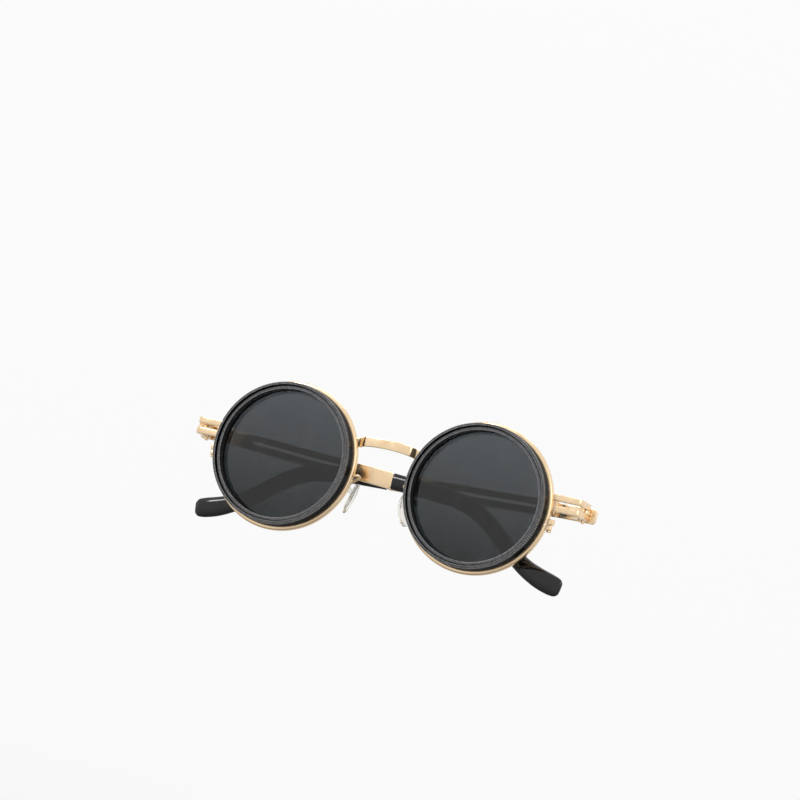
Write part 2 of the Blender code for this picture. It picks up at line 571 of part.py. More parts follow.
def build_temple(word, side, gold, black, screw):
    """The folding arm: hinge leaf, slotted bar, two rivets and the bent tip, about its hinge axis."""
    fold = FOLD_LEFT if side > 0 else -FOLD_RIGHT
    hinge = at(side * HINGE_X, HINGE_DEPTH, HINGE_HEIGHT)
    axis = axis_empty(word + "_temple_axis", hinge, math.radians(fold))

    def flat(back, up, out):
        return Vector((side * out * MM, back * MM, (up + lowered(back)) * MM))

    def upright(a, b, level):
        return Vector((side * a * MM, b * MM, level * MM))

    def across(a, b, level):
        return Vector((side * level * MM, (RIVET_BACK + a) * MM, (b + lowered(RIVET_BACK)) * MM))

    tall, low = LEAF_HALF, LEAF_HALF - 0.2
    outline = [(LEAF_HEEL + 1.0, -tall), (SLOPE_FROM, -tall), (LEAF_END - 1.0, -low), (LEAF_END, 1.0 - low)]
    outline += [(LEAF_END, low - 1.0), (LEAF_END - 1.0, low), (SLOPE_FROM, tall), (LEAF_HEEL + 1.0, tall)]
    outline += [(LEAF_HEEL + 0.3, tall - 0.3), (LEAF_HEEL, tall - 1.0)]
    outline += [(LEAF_HEEL, 1.0 - tall), (LEAF_HEEL + 0.3, 0.3 - tall)]
    bm = bmesh.new()
    prism(bm, outline, LEAF_OUT[0], LEAF_OUT[1], flat)
    leaf = finish(word + "_hinge_leaf", bm, gold, axis)
    near, far, half = KNUCKLE_R + 0.8, BAR_START - 0.25, LEAF_HALF - 0.3
    outline = [(near, -half), (far - 0.75, -half), (far, 0.7 - half)]
    outline += [(far, half - 0.7), (far - 0.75, half), (near, half)]
    bm = bmesh.new()
    prism(bm, outline, LEAF_OUT[0] - 0.6, LEAF_OUT[0] + 0.3, flat)
    combine(leaf, finish(word + "_leaf_pad", bm, None), "UNION")
    knuckle = BAR_SPACE / 2.0 - KNUCKLE_GAP
    bm = bmesh.new()
    rod(bm, upright, KNUCKLE_R, -knuckle, knuckle, 24)
    combine(leaf, finish(word + "_leaf_knuckle", bm, None), "UNION")
    bm = bmesh.new()
    reach, web = (LEAF_OUT[0] + LEAF_OUT[1]) / 2.0, KNUCKLE_R - 0.4
    prism(bm, [(0.0, -web), (reach, -web), (reach, web), (0.0, web)], 0.09 - knuckle, knuckle - 0.09, upright)
    combine(leaf, finish(word + "_leaf_web", bm, None), "UNION")
    bm = bmesh.new()
    rod(bm, upright, HINGE_SCREW_R + HINGE_CLEARANCE, -3.0, 3.0, 20)
    combine(leaf, finish(word + "_leaf_bore", bm, None), "DIFFERENCE")

    tall, low = BAR_HALF, BAR_FRONT_HALF
    outline = [(BAR_START + 0.9, -low), (BAR_END - 1.2, -tall), (BAR_END - 0.35, 0.35 - tall)]
    outline += [(BAR_END, 1.15 - tall), (BAR_END, tall - 1.15), (BAR_END - 0.35, tall - 0.35)]
    outline += [(BAR_END - 1.2, tall), (BAR_START + 0.4, low), (BAR_START, low - 0.35)]
    outline += [(BAR_START + 0.4, 0.35 - low)]
    bm = bmesh.new()
    prism(bm, outline, BAR_OUT[0], BAR_OUT[1], flat)
    bar = finish(word + "_temple_bar", bm, gold, axis)
    bm = bmesh.new()
    tall, low = TANG_HALF, TANG_HALF - 0.2
    outline = [(BAR_END - 1.0, -tall), (TANG_END, -low), (TANG_END, low), (BAR_END - 1.0, tall)]
    prism(bm, outline, BAR_OUT[0] + TANG_INSET, BAR_OUT[1] - TANG_INSET, flat)
    combine(bar, finish(word + "_temple_tang", bm, None), "UNION")
    start, stop = SLOT_BACK
    outline = [(start, 0.0), (start + 1.2, -SLOT_HALF), (stop - 1.2, -SLOT_HALF), (stop, 0.0)]
    outline += [(stop - 1.2, SLOT_HALF), (start + 1.2, SLOT_HALF)]
    bm = bmesh.new()
    prism(bm, outline, BAR_OUT[0] - 1.5, LEAF_OUT[0] + 2.0, flat)
    combine(bar, finish(word + "_temple_slot", bm, None), "DIFFERENCE")
    for spread, place_word in ((RIVET_SPREAD, "upper"), (-RIVET_SPREAD, "lower")):
        build_rivet(word, place_word, spread, across, axis, bar, leaf, screw)

    path = []
    for back, up, half in TIP_PATH:
        path.append((TIP_START + back, up, half))
    sections = []
    for i, (back, up, half) in enumerate(path):
        first, last = path[max(i - 1, 0)], path[min(i + 1, len(path) - 1)]
        along = Vector((0.0, last[0] - first[0], last[1] - first[1])).normalized()
        rise = Vector((0.0, -along.z, along.y))
        from_end = len(path) - 1 - i
        thick = TIP_HALF_THICK - (0.75, 0.25, 0.0)[min(from_end, 2)]
        section = []
        for a, b in rounded_box(thick, half, min(0.9, thick * 0.7), 3):
            spot = Vector((TIP_MID_OUT + a, back, up)) + rise * b
            section.append(flat(spot.y, spot.z + lowered(back) - lowered(spot.y), spot.x))
        sections.append(section)
    bm = bmesh.new()
    lofted(bm, sections)
    tip = finish(word + "_temple_tip", bm, black, axis)
    bm = bmesh.new()
    wide, narrow = TANG_HALF + SOCKET_CLEARANCE, TANG_HALF - 0.2 + SOCKET_CLEARANCE
    start, stop, inset = TIP_START - 2.0, TANG_END + 0.2, TANG_INSET - SOCKET_CLEARANCE
    outline = [(start, -wide), (stop, -narrow), (stop, narrow), (start, wide)]
    prism(bm, outline, BAR_OUT[0] + inset, BAR_OUT[1] - inset, flat)
    combine(tip, finish(word + "_tip_socket", bm, None), "DIFFERENCE")


def build_rivet(word, place_word, spread, across, axis, bar, leaf, screw):
    """One rivet through the temple bar and the hinge leaf, domed on the inner face."""

    def shifted(a, b, level):
        return across(a, b + spread, level)

    name = word + "_rivet_" + place_word
    for target, suffix in ((bar, "_bar_hole"), (leaf, "_leaf_hole")):
        bm = bmesh.new()
        rod(bm, shifted, RIVET_R + RIVET_CLEARANCE, BAR_OUT[0] - 1.5, LEAF_OUT[1] + 1.2, 16)
        combine(target, finish(name + suffix, bm, None), "DIFFERENCE")
    bm = bmesh.new()
    sections = []
    top = BAR_OUT[0] - 0.03
    levels = [(RIVET_R, LEAF_OUT[1]), (RIVET_R, top), (RIVET_DOME_R, top)]
    levels += [(RIVET_DOME_R - 0.07, top - 0.55 * RIVET_DOME), (RIVET_DOME_R - 0.35, top - RIVET_DOME)]
    for radius, level in levels:
        section = []
        for step in range(16):
            angle = 2.0 * math.pi * step / 16
            section.append(shifted(radius * math.cos(angle), radius * math.sin(angle), level))
        sections.append(section)
    lofted(bm, sections)
    finish(name, bm, screw, axis)


def build_nose_pad(word, side, gold, screw, clear):
    """The bent wire arm, the pad that rocks on its end and the screw that holds the pad."""
    pivot = at(side * PAD_SCREW_X, (PAD_EYE[0] + PAD_LUG[1]) / 2.0, PAD_SCREW_HEIGHT)
    axis = axis_empty(word + "_nose_pad_axis", pivot)

    def facing(a, b, level):
        return at(side * (PAD_SCREW_X + a), level, PAD_SCREW_HEIGHT + b)

    def facing_pad(a, b, level):
        return facing(a, b, level) - pivot

    path = []
    for past, share, up in PAD_WIRE_PATH:
        depth = RIM_FRONT + 1.7 + share * (PAD_SETBACK - 1.7)
        path.append((side * (NOSE_HALF + past), depth, PAD_SCREW_HEIGHT + up))
    outline = []
    for step in range(10):
        angle = 2.0 * math.pi * step / 10
        outline.append((PAD_WIRE_R * math.cos(angle), PAD_WIRE_R * math.sin(angle)))
    bm = bmesh.new()
    swept(bm, path, outline)
    arm = finish(word + "_nose_pad_arm", bm, gold)
    bm = bmesh.new()
    rod(bm, facing, PAD_EYE_R, PAD_EYE[0], PAD_EYE[1], 24)
    combine(arm, finish(word + "_pad_eye", bm, None), "UNION")
    bm = bmesh.new()
    rod(bm, facing, PAD_SCREW_R + PAD_EYE_CLEARANCE, PAD_EYE[0] - 1.3, PAD_EYE[1] + 1.9, 16)
    combine(arm, finish(word + "_pad_eye_bore", bm, None), "DIFFERENCE")
    combine(arm, rim_core(word + "_arm_trim", side), "DIFFERENCE")

    bm = bmesh.new()
    bmesh.ops.create_uvsphere(bm, u_segments=20, v_segments=12, radius=1.0)
    scale = Matrix.Diagonal((PAD_HALF[0] * MM, PAD_HALF[1] * MM, PAD_HALF[2] * MM, 1.0))
    splay = Matrix.Rotation(side * math.radians(-14.0), 4, "Y")
    turn = Matrix.Rotation(side * math.radians(-30.0), 4, "Z")
    middle = at(side * (NOSE_HALF + PAD_OUT), PAD_DEPTH, PAD_SCREW_HEIGHT - PAD_DROP)
    shift = Matrix.Translation(middle - pivot)
    bmesh.ops.transform(bm, matrix=shift @ splay @ turn @ scale, verts=bm.verts[:])
    pad = finish(word + "_nose_pad", bm, clear, axis)
    bm = bmesh.new()
    outline = [(-3.0, -3.4), (-1.3, -1.2), (-0.7, -1.35), (0.3, -1.4), (1.1, -0.9), (1.4, 0.0), (1.1, 0.9)]
    outline += [(0.3, 1.35), (-0.7, 1.25), (-1.6, 0.4), (-3.3, -1.8)]
    prism(bm, outline, PAD_LUG[0], PAD_LUG[1], facing_pad)
    combine(pad, finish(word + "_pad_lug", bm, None), "UNION")
    bm = bmesh.new()
    rod(bm, facing_pad, PAD_SCREW_R + PAD_BORE_CLEARANCE, PAD_EYE[0] - 3.3, PAD_LUG[1] + 3.1, 16)
    combine(pad, finish(word + "_pad_bore", bm, None), "DIFFERENCE")

    bm = bmesh.new()
    rod(bm, facing_pad, PAD_SCREW_R, PAD_EYE[0] - 0.4, PAD_LUG[1] - 0.05, 16)
    shank = finish(word + "_nose_pad_screw", bm, screw, axis)
    bm = bmesh.new()
    rod(bm, facing_pad, PAD_SCREW_HEAD_R, PAD_EYE[0] - 0.55, PAD_EYE[0] - 0.05, 20)
    combine(shank, finish(word + "_pad_screw_head", bm, None), "UNION")
    bm = bmesh.new()
    outline = [(-1.4, -0.13), (1.4, -0.13), (1.4, 0.13), (-1.4, 0.13)]
    prism(bm, outline, PAD_EYE[0] - 0.8, PAD_EYE[0] - 0.38, facing_pad)
    combine(shank, finish(word + "_pad_screw_slot", bm, None), "DIFFERENCE")


def main():
    """Builds the front, then each side."""
    clear_scene()
    gold = principled("pale_gold", GOLD, 1.0, 0.25)
    screw = principled("gold_screw", GOLD, 1.0, 0.3)
    black = principled("black_anodised", BLACK, 0.3, 0.3)
    grey = principled("dark_anodised", DARK_GREY, 0.3, 0.35)
    tip = principled("black_acetate", BLACK, 0.0, 0.2)
    smoke = principled("smoke_lens", SMOKE, 0.0, 0.02, 0.9)
    clear = principled("clear_lens", CLEAR, 0.0, 0.02, 1.0)
    soft = principled("clear_silicone", CLEAR, 0.0, 0.3, 0.8)
    rubber = principled("seal_rubber", RUBBER, 0.0, 0.7)
    build_bridge(gold)
    for word, side in (("left", 1), ("right", -1)):
        build_rim(word, side, gold, screw)
        build_clear_lens(word, side, clear)
        build_filter(word, side, black, grey, smoke, rubber)
        build_end_piece(word, side, gold, screw)
        build_temple(word, side, gold, tip, screw)
        build_nose_pad(word, side, gold, screw, soft)


main()
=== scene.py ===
"""Looks of a pair of round spectacles with screw-on tinted ring filters.

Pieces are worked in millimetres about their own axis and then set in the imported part's frame: X across
the face, -Y out of the front, +Z up. Depth counts back from the front faces of the filter rings and
height from the lens centre line, as in the part's own source.
"""

import logging
import math
from collections.abc import Iterable, Sequence
from dataclasses import dataclass
from enum import Enum

import bmesh
import bpy
from mathutils import Euler, Matrix, Vector


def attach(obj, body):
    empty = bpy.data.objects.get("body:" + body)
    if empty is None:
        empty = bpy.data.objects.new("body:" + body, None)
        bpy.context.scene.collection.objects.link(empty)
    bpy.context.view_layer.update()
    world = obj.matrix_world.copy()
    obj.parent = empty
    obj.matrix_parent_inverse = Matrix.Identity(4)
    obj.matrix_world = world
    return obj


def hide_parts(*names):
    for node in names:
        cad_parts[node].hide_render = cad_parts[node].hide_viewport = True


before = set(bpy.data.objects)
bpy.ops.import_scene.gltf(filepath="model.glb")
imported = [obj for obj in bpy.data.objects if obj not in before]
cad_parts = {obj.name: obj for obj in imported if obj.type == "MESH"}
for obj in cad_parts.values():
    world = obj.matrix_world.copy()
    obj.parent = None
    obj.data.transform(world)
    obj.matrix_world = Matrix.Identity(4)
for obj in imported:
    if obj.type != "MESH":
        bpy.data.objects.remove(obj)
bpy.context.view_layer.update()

LOG = logging.getLogger("spectacles")
MM = 0.001
FRONT_Y = -10.24
LENS_HEIGHT = 24.75
LENS_PITCH = 68.0
RIM_OUTER_R = 24.739
RIM_FRONT = 5.0
HINGE_X = 66.9
HINGE_DEPTH = 14.5
HINGE_HEIGHT = 4.0
# Vertex value that lightens the colour: edge wear, and painted sheen on the filter rings' front faces
WEAR = "edge_wear"
MERGE_MM = 1e-5
SHARP_DEG = 35.0
BEVEL_DEG = 30.0
WORN_RADIUS = 0.4
SECTORS = 24
SOLDER_OVERLAP = 0.02
RIM_CORE = (2.0, 7.55)
SCREW_SLOT_HALF = 0.13
SCREW_SLOT_DEEP = 0.28
PALE_RAYS = ("Is Glossy Ray", "Is Transmission Ray")

# Z of a turned blank becomes the lens axis, which runs back into the frame
RUN_BACK = Matrix.Rotation(math.radians(-90.0), 4, "X")
# A flat outline of back and up, extruded along Z, becomes out, back and up
STAND_UP = Matrix(((0, 0, 1), (1, 0, 0), (0, 1, 0))).to_4x4()

Point2 = tuple[float, float]
Point3 = tuple[float, float, float]
Colour = tuple[float, float, float, float]


class Side(Enum):
    """The wearer's two sides; the value is the sign of X."""

    LEFT = 1
    RIGHT = -1

    @property
    def word(self) -> str:
        """The word that names begin with."""
        return self.name.lower()

    @property
    def lens_x(self) -> float:
        """X of the lens centre in millimetres."""
        return self.value * LENS_PITCH / 2.0


class Join(Enum):
    """How one blank acts on another."""

    ADD = "UNION"
    CUT = "DIFFERENCE"


class Sum(Enum):
    """How a Math node joins two values; the names are the node's own."""

    ADD = "one plus the other"
    MULTIPLY = "one times the other"
    MAXIMUM = "the larger one"


class Slot(Enum):
    """Names of the material slots."""

    GOLD = "pale_gold"
    SCREW = "gold_screw"
    RING = "black_anodised"
    RETAINER = "dark_anodised"
    SMOKE = "smoke_lens"
    CLEAR = "clear_lens"
    TIP = "black_acetate"
    PAD = "clear_silicone"
    SEAL = "seal_rubber"


FOLDED_DEG = {Side.LEFT: 88.5, Side.RIGHT: 91.8}


def front_place(x: float = 0.0, depth: float = 0.0, height: float = 0.0) -> Matrix:
    """Matrix from millimetres about a point of the front to the frame, in metres.

    Args:
        x: Across the face.
        depth: Back from the front faces of the filter rings.
        height: Up from the lens centre line.

    Returns:
        The matrix to put on a blank's mesh.
    """
    shift = Matrix.Translation(Vector((x, depth + FRONT_Y, height + LENS_HEIGHT)) * MM)
    return shift @ Matrix.Scale(MM, 4)


def lens_place(side: Side) -> Matrix:
    """Matrix of a turned blank whose axis becomes the lens axis, running back into the frame."""
    return front_place(side.lens_x) @ RUN_BACK


def filleted(corners: Sequence[Point3], closed: bool, steps: int = 3) -> list[Point3]:
    """Rounds the corners of a profile.

    Args:
        corners: Each corner's two coordinates and its fillet radius.
        closed: Whether the last corner joins the first.
        steps: Spans in each fillet.

    Returns:
        Points with a wear value in place of the radius: 1 in the middle of a tight fillet, 0 on flats.
    """
    points: list[Point3] = []
    count = len(corners)
    for i, (a, b, radius) in enumerate(corners):
        if radius <= 0.0 or (not closed and i in (0, count - 1)):
            points.append((a, b, 0.0))
            continue
        here = Vector((a, b))
        to_last = Vector(corners[i - 1][:2]) - here
        to_next = Vector(corners[(i + 1) % count][:2]) - here
        reach = min(radius, 0.45 * to_last.length, 0.45 * to_next.length)
        start, stop = here + to_last.normalized() * reach, here + to_next.normalized() * reach
        for step in range(steps + 1):
            t = step / steps
            spot = start * (1.0 - t) ** 2 + here * 2.0 * t * (1.0 - t) + stop * t**2
            points.append((spot.x, spot.y, 1.0 if 0 < step < steps and radius < WORN_RADIUS else 0.0))
    return points


def smooth_path(points: Sequence[Sequence[float]], spans: int) -> list[Vector]:
    """Runs a smooth line through points.

    Args:
        points: The points to pass through, of any number of values each.
        spans: How many spans to make between two points.

    Returns:
        The points of the smooth line.
    """
    known = [Vector(point) for point in points]
    known = [2.0 * known[0] - known[1], *known, 2.0 * known[-1] - known[-2]]
    line: list[Vector] = []
    for p0, p1, p2, p3 in zip(known, known[1:], known[2:], known[3:]):
        for step in range(spans):
            t = step / spans
            line.append(
                0.5 * (2.0 * p1 + (p2 - p0) * t + (2.0 * p0 - 5.0 * p1 + 4.0 * p2 - p3) * t**2
                       + (3.0 * p1 - p0 - 3.0 * p2 + p3) * t**3)
            )
    return [*line, known[-2]]


def stations(line: Sequence[Vector]) -> list[Matrix]:
    """Sets frames along a line, with X sideways, Y up and Z along it.

    Args:
        line: Points of the line.

    Returns:
        A frame for each point.
    """
    found: list[Matrix] = []
    for i, spot in enumerate(line):
        along = (line[min(i + 1, len(line) - 1)] - line[max(i - 1, 0)]).normalized()
        across = along.cross(Vector((0.0, 0.0, 1.0))).normalized()
        rise = across.cross(along)
        turn = Matrix((across, rise, along)).transposed().to_4x4()
        found.append(Matrix.Translation(spot) @ turn)
    return found


def ring_outline(radius: float, sides: int) -> list[Point3]:
    """Points of a circle, with no wear."""
    turn = 2.0 * math.pi / sides
    return [(radius * math.cos(turn * i), radius * math.sin(turn * i), 0.0) for i in range(sides)]


def arc(centre: Point2, radius: float, start: float, sweep: float, spans: int) -> list[Point2]:
    """Runs an arc in a plane.

    Args:
        centre: Its centre.
        radius: Its radius.
        start: First angle in degrees.
        sweep: How far to turn, in degrees.
        spans: How many spans to make.

    Returns:
        The points of the arc.
    """
    angles = [math.radians(start + sweep * step / spans) for step in range(spans + 1)]
    return [(centre[0] + radius * math.cos(turn), centre[1] + radius * math.sin(turn)) for turn in angles]


def oblong(low: Point2, high: Point2) -> list[Point2]:
    """Corners of a rectangle between two opposite ones."""
    return [low, (high[0], low[1]), high, (low[0], high[1])]


def mirrored(upper: Sequence[Point2]) -> list[Point2]:
    """Outline whose lower half mirrors its upper half."""
    return [*upper, *((along, -up) for along, up in reversed(upper))]


def soft_box(half_a: float, half_b: float, radius: float, steps: int = 5) -> list[Point3]:
    """Outline of a rectangle with round corners that wear.

    Args:
        half_a: Half the first side.
        half_b: Half the second side.
        radius: Corner radius.
        steps: Spans in each corner.

    Returns:
        The outline's points, each with its wear.
    """
    outline: list[Point3] = []
    for quarter, (sign_a, sign_b) in enumerate(((1, 1), (-1, 1), (-1, -1), (1, -1))):
        for step in range(steps + 1):
            angle = math.radians(90.0 * (quarter + step / steps))
            outline.append((sign_a * (half_a - radius) + radius * math.cos(angle),
                            sign_b * (half_b - radius) + radius * math.sin(angle), float(0 < step < steps)))
    return outline


class Blank:
    """A mesh being worked in millimetres, with a wear value on every vertex."""

    def __init__(self) -> None:
        """Starts with no geometry."""
        self.bm = bmesh.new()
        self.wear = self.bm.verts.layers.float.new(WEAR)

    def turn(self, profile: Sequence[Point3], steps: int, start: float = 0.0,
             sweep: float = 360.0) -> "Blank":
        """Spins a profile about Z.

        Args:
            profile: Radius, distance along the axis and wear of each point. A profile that starts on
                the axis is left open there; any other is closed.
            steps: Spans round the turn. A full turn in a multiple of SECTORS is spun as one sector and
                repeated.
            start: First angle in degrees.
            sweep: How far to turn, in degrees. Less than a full turn is capped at both ends.

        Returns:
            This blank.
        """
        first = math.radians(start)
        verts = []
        for radius, along, wear in profile:
            vert = self.bm.verts.new((radius * math.cos(first), radius * math.sin(first), along))
            vert[self.wear] = wear
            verts.append(vert)
        pairs = list(zip(verts, verts[1:]))
        if profile[0][0] > 0.0:
            pairs.append((verts[-1], verts[0]))
        edges = [self.bm.edges.new(pair) for pair in pairs]
        full = abs(sweep) >= 360.0
        parts = SECTORS if full and steps % SECTORS == 0 else 1
        part = math.radians(sweep) / parts
        about_z = {"cent": (0, 0, 0), "axis": (0, 0, 1), "dvec": (0, 0, 0)}
        bmesh.ops.spin(self.bm, geom=verts + edges, **about_z, angle=part, steps=steps // parts,
                       use_merge=full and parts == 1)
        if parts > 1:
            sector = self.bm.verts[:] + self.bm.edges[:] + self.bm.faces[:]
            bmesh.ops.spin(self.bm, geom=sector, **about_z, angle=part * (parts - 1), steps=parts - 1,
                           use_duplicate=True)
        bmesh.ops.remove_doubles(self.bm, verts=self.bm.verts[:], dist=MERGE_MM)
        if not full:
            rim = [edge for edge in self.bm.edges if edge.is_boundary]
            bmesh.ops.holes_fill(self.bm, edges=rim, sides=0)
        return self

    def plate(self, outline: Sequence[Point2], low: float, high: float, rounding: float = 0.0,
              segments: int = 3) -> "Blank":
        """Extrudes a flat outline along Z and rounds its edges.

        Args:
            outline: Corners of the plate.
            low: Level of the first face.
            high: Level of the second face.
            rounding: Radius of the rounded edges.
            segments: Spans in each rounded edge.

        Returns:
            This blank.
        """
        face = self.bm.faces.new([self.bm.verts.new((a, b, low)) for a, b in outline])
        grown = bmesh.ops.extrude_face_region(self.bm, geom=[face])["geom"]
        top = [item for item in grown if isinstance(item, bmesh.types.BMVert)]
        bmesh.ops.translate(self.bm, verts=top, vec=(0.0, 0.0, high - low))
        if rounding > 0.0:
            bmesh.ops.recalc_face_normals(self.bm, faces=self.bm.faces[:])
            limit = math.radians(BEVEL_DEG)
            sharp = [edge for edge in self.bm.edges if edge.calc_face_angle(0.0) > limit]
            self.soften(sharp, rounding, segments)
        return self

    def soften(self, edges: Iterable[bmesh.types.BMEdge], radius: float, segments: int = 3) -> None:
        """Rounds edges and marks the middle of each rounding as worn.

        Args:
            edges: The edges to round.
            radius: Radius of the rounding.
            segments: Spans in it.
        """
        made = bmesh.ops.bevel(self.bm, geom=list(edges), offset=radius, offset_type="OFFSET",
                               segments=segments, profile=0.5, affect="EDGES", clamp_overlap=True,
                               material=-1)
        rounded = set(made["faces"])
        for vert in made["verts"]:
            vert[self.wear] = float(all(face in rounded for face in vert.link_faces))

    def sweep(self, frames: Sequence[Matrix], outline: Sequence[Point3]) -> "Blank":
        """Carries an outline through frames, step by step, and leaves both ends closed.

        Args:
            frames: A frame for each step; its X and Y carry the outline and may be scaled.
            outline: Points of the section, each with its wear.

        Returns:
            This blank.
        """
        section = []
        for a, b, wear in outline:
            section.append(self.bm.verts.new(frames[0] @ Vector((a, b, 0.0))))
            section[-1][self.wear] = wear
        face = self.bm.faces.new(section)
        for before, after in zip(frames, frames[1:]):
            grown = bmesh.ops.extrude_face_region(self.bm, geom=[face])["geom"]
            face = next(item for item in grown if isinstance(item, bmesh.types.BMFace))
            bmesh.ops.transform(self.bm, matrix=after @ before.inverted(), verts=face.verts[:])
        return self

    def rod(self, radius: float, low: float, high: float, sides: int = 40, rounding: float = 0.0) -> "Blank":
        """Makes a cylinder along Z.

        Args:
            radius: Its radius.
            low: Level of the first end.
            high: Level of the second end.
            sides: Facets round it.
            rounding: Radius of its rounded rims.

        Returns:
            This blank.
        """
        middle = Matrix.Translation((0.0, 0.0, (low + high) / 2.0))
        made = bmesh.ops.create_cone(self.bm, cap_ends=True, segments=sides, radius1=radius,
                                     radius2=radius, depth=high - low, matrix=middle)
        if rounding > 0.0:
            rims = {edge for vert in made["verts"] for edge in vert.link_edges
                    if abs(edge.verts[0].co.z - edge.verts[1].co.z) < MERGE_MM}
            self.soften(rims, rounding)
        return self

    def moved(self, matrix: Matrix) -> "Blank":
        """Moves everything made so far."""
        bmesh.ops.transform(self.bm, matrix=matrix, verts=self.bm.verts[:])
        return self

    def mesh(self, name: str) -> bpy.types.Mesh:
        """Closes the blank and hands over its mesh, with faces pointing out.

        Args:
            name: The mesh's name.

        Returns:
            The mesh. The blank is used up.
        """
        bmesh.ops.remove_doubles(self.bm, verts=self.bm.verts[:], dist=MERGE_MM)
        bmesh.ops.recalc_face_normals(self.bm, faces=self.bm.faces[:])
        mesh = bpy.data.meshes.new(name)
        self.bm.to_mesh(mesh)
        self.bm.free()
        return mesh

    def combine(self, other: "Blank", way: Join) -> "Blank":
        """Adds another blank to this one, or cuts it away.

        Args:
            other: The second blank, which is used up.
            way: What to do with it.

        Returns:
            This blank.
        """
        helpers = []
        for blank, name in ((self, "work"), (other, "tool")):
            helper = bpy.data.objects.new(name, blank.mesh(name))
            bpy.context.scene.collection.objects.link(helper)
            helpers.append(helper)
        work, tool = helpers
        modifier = work.modifiers.new("combine", "BOOLEAN")
        modifier.operation = way.value
        modifier.solver = "EXACT"
        modifier.object = tool
        bpy.context.view_layer.update()
        result = bpy.data.meshes.new_from_object(work.evaluated_get(bpy.context.evaluated_depsgraph_get()))
        self.bm = bmesh.new()
        self.bm.from_mesh(result)
        self.wear = self.bm.verts.layers.float.get(WEAR) or self.bm.verts.layers.float.new(WEAR)
        for helper in helpers:
            mesh = helper.data
            bpy.data.objects.remove(helper)
            bpy.data.meshes.remove(mesh)
        bpy.data.meshes.remove(result)
        return self


@dataclass
class Fitter:
    """Turns finished blanks into pieces that ride on the part's bodies."""

    made: int = 0

    def fit(self, blank: Blank, place: Matrix, node: str, body: str,
            material: bpy.types.Material) -> bpy.types.Object:
        """Makes a piece that stands for a node.

        Args:
            blank: The worked blank, which is used up.
            place: Matrix from the blank's millimetres to the frame.
            node: The node that the piece replaces.
            body: The body that it rides on.
            material: Its finish.

        Returns:
            The piece.
        """
        mesh = blank.mesh(node + "_look")
        mesh.transform(place)
        if place.is_negative:
            mesh.flip_normals()
        mesh.polygons.foreach_set("use_smooth", [True] * len(mesh.polygons))
        mesh.set_sharp_from_angle(angle=math.radians(SHARP_DEG))
        mesh.materials.clear()
        mesh.materials.append(material)
        piece = bpy.data.objects.new(node + "_look", mesh)
        bpy.context.scene.collection.objects.link(piece)
        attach(piece, body)
        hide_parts(node)
        self.made += 1
        LOG.info("%s: %d faces on %s", piece.name, len(mesh.polygons), body)
        return piece


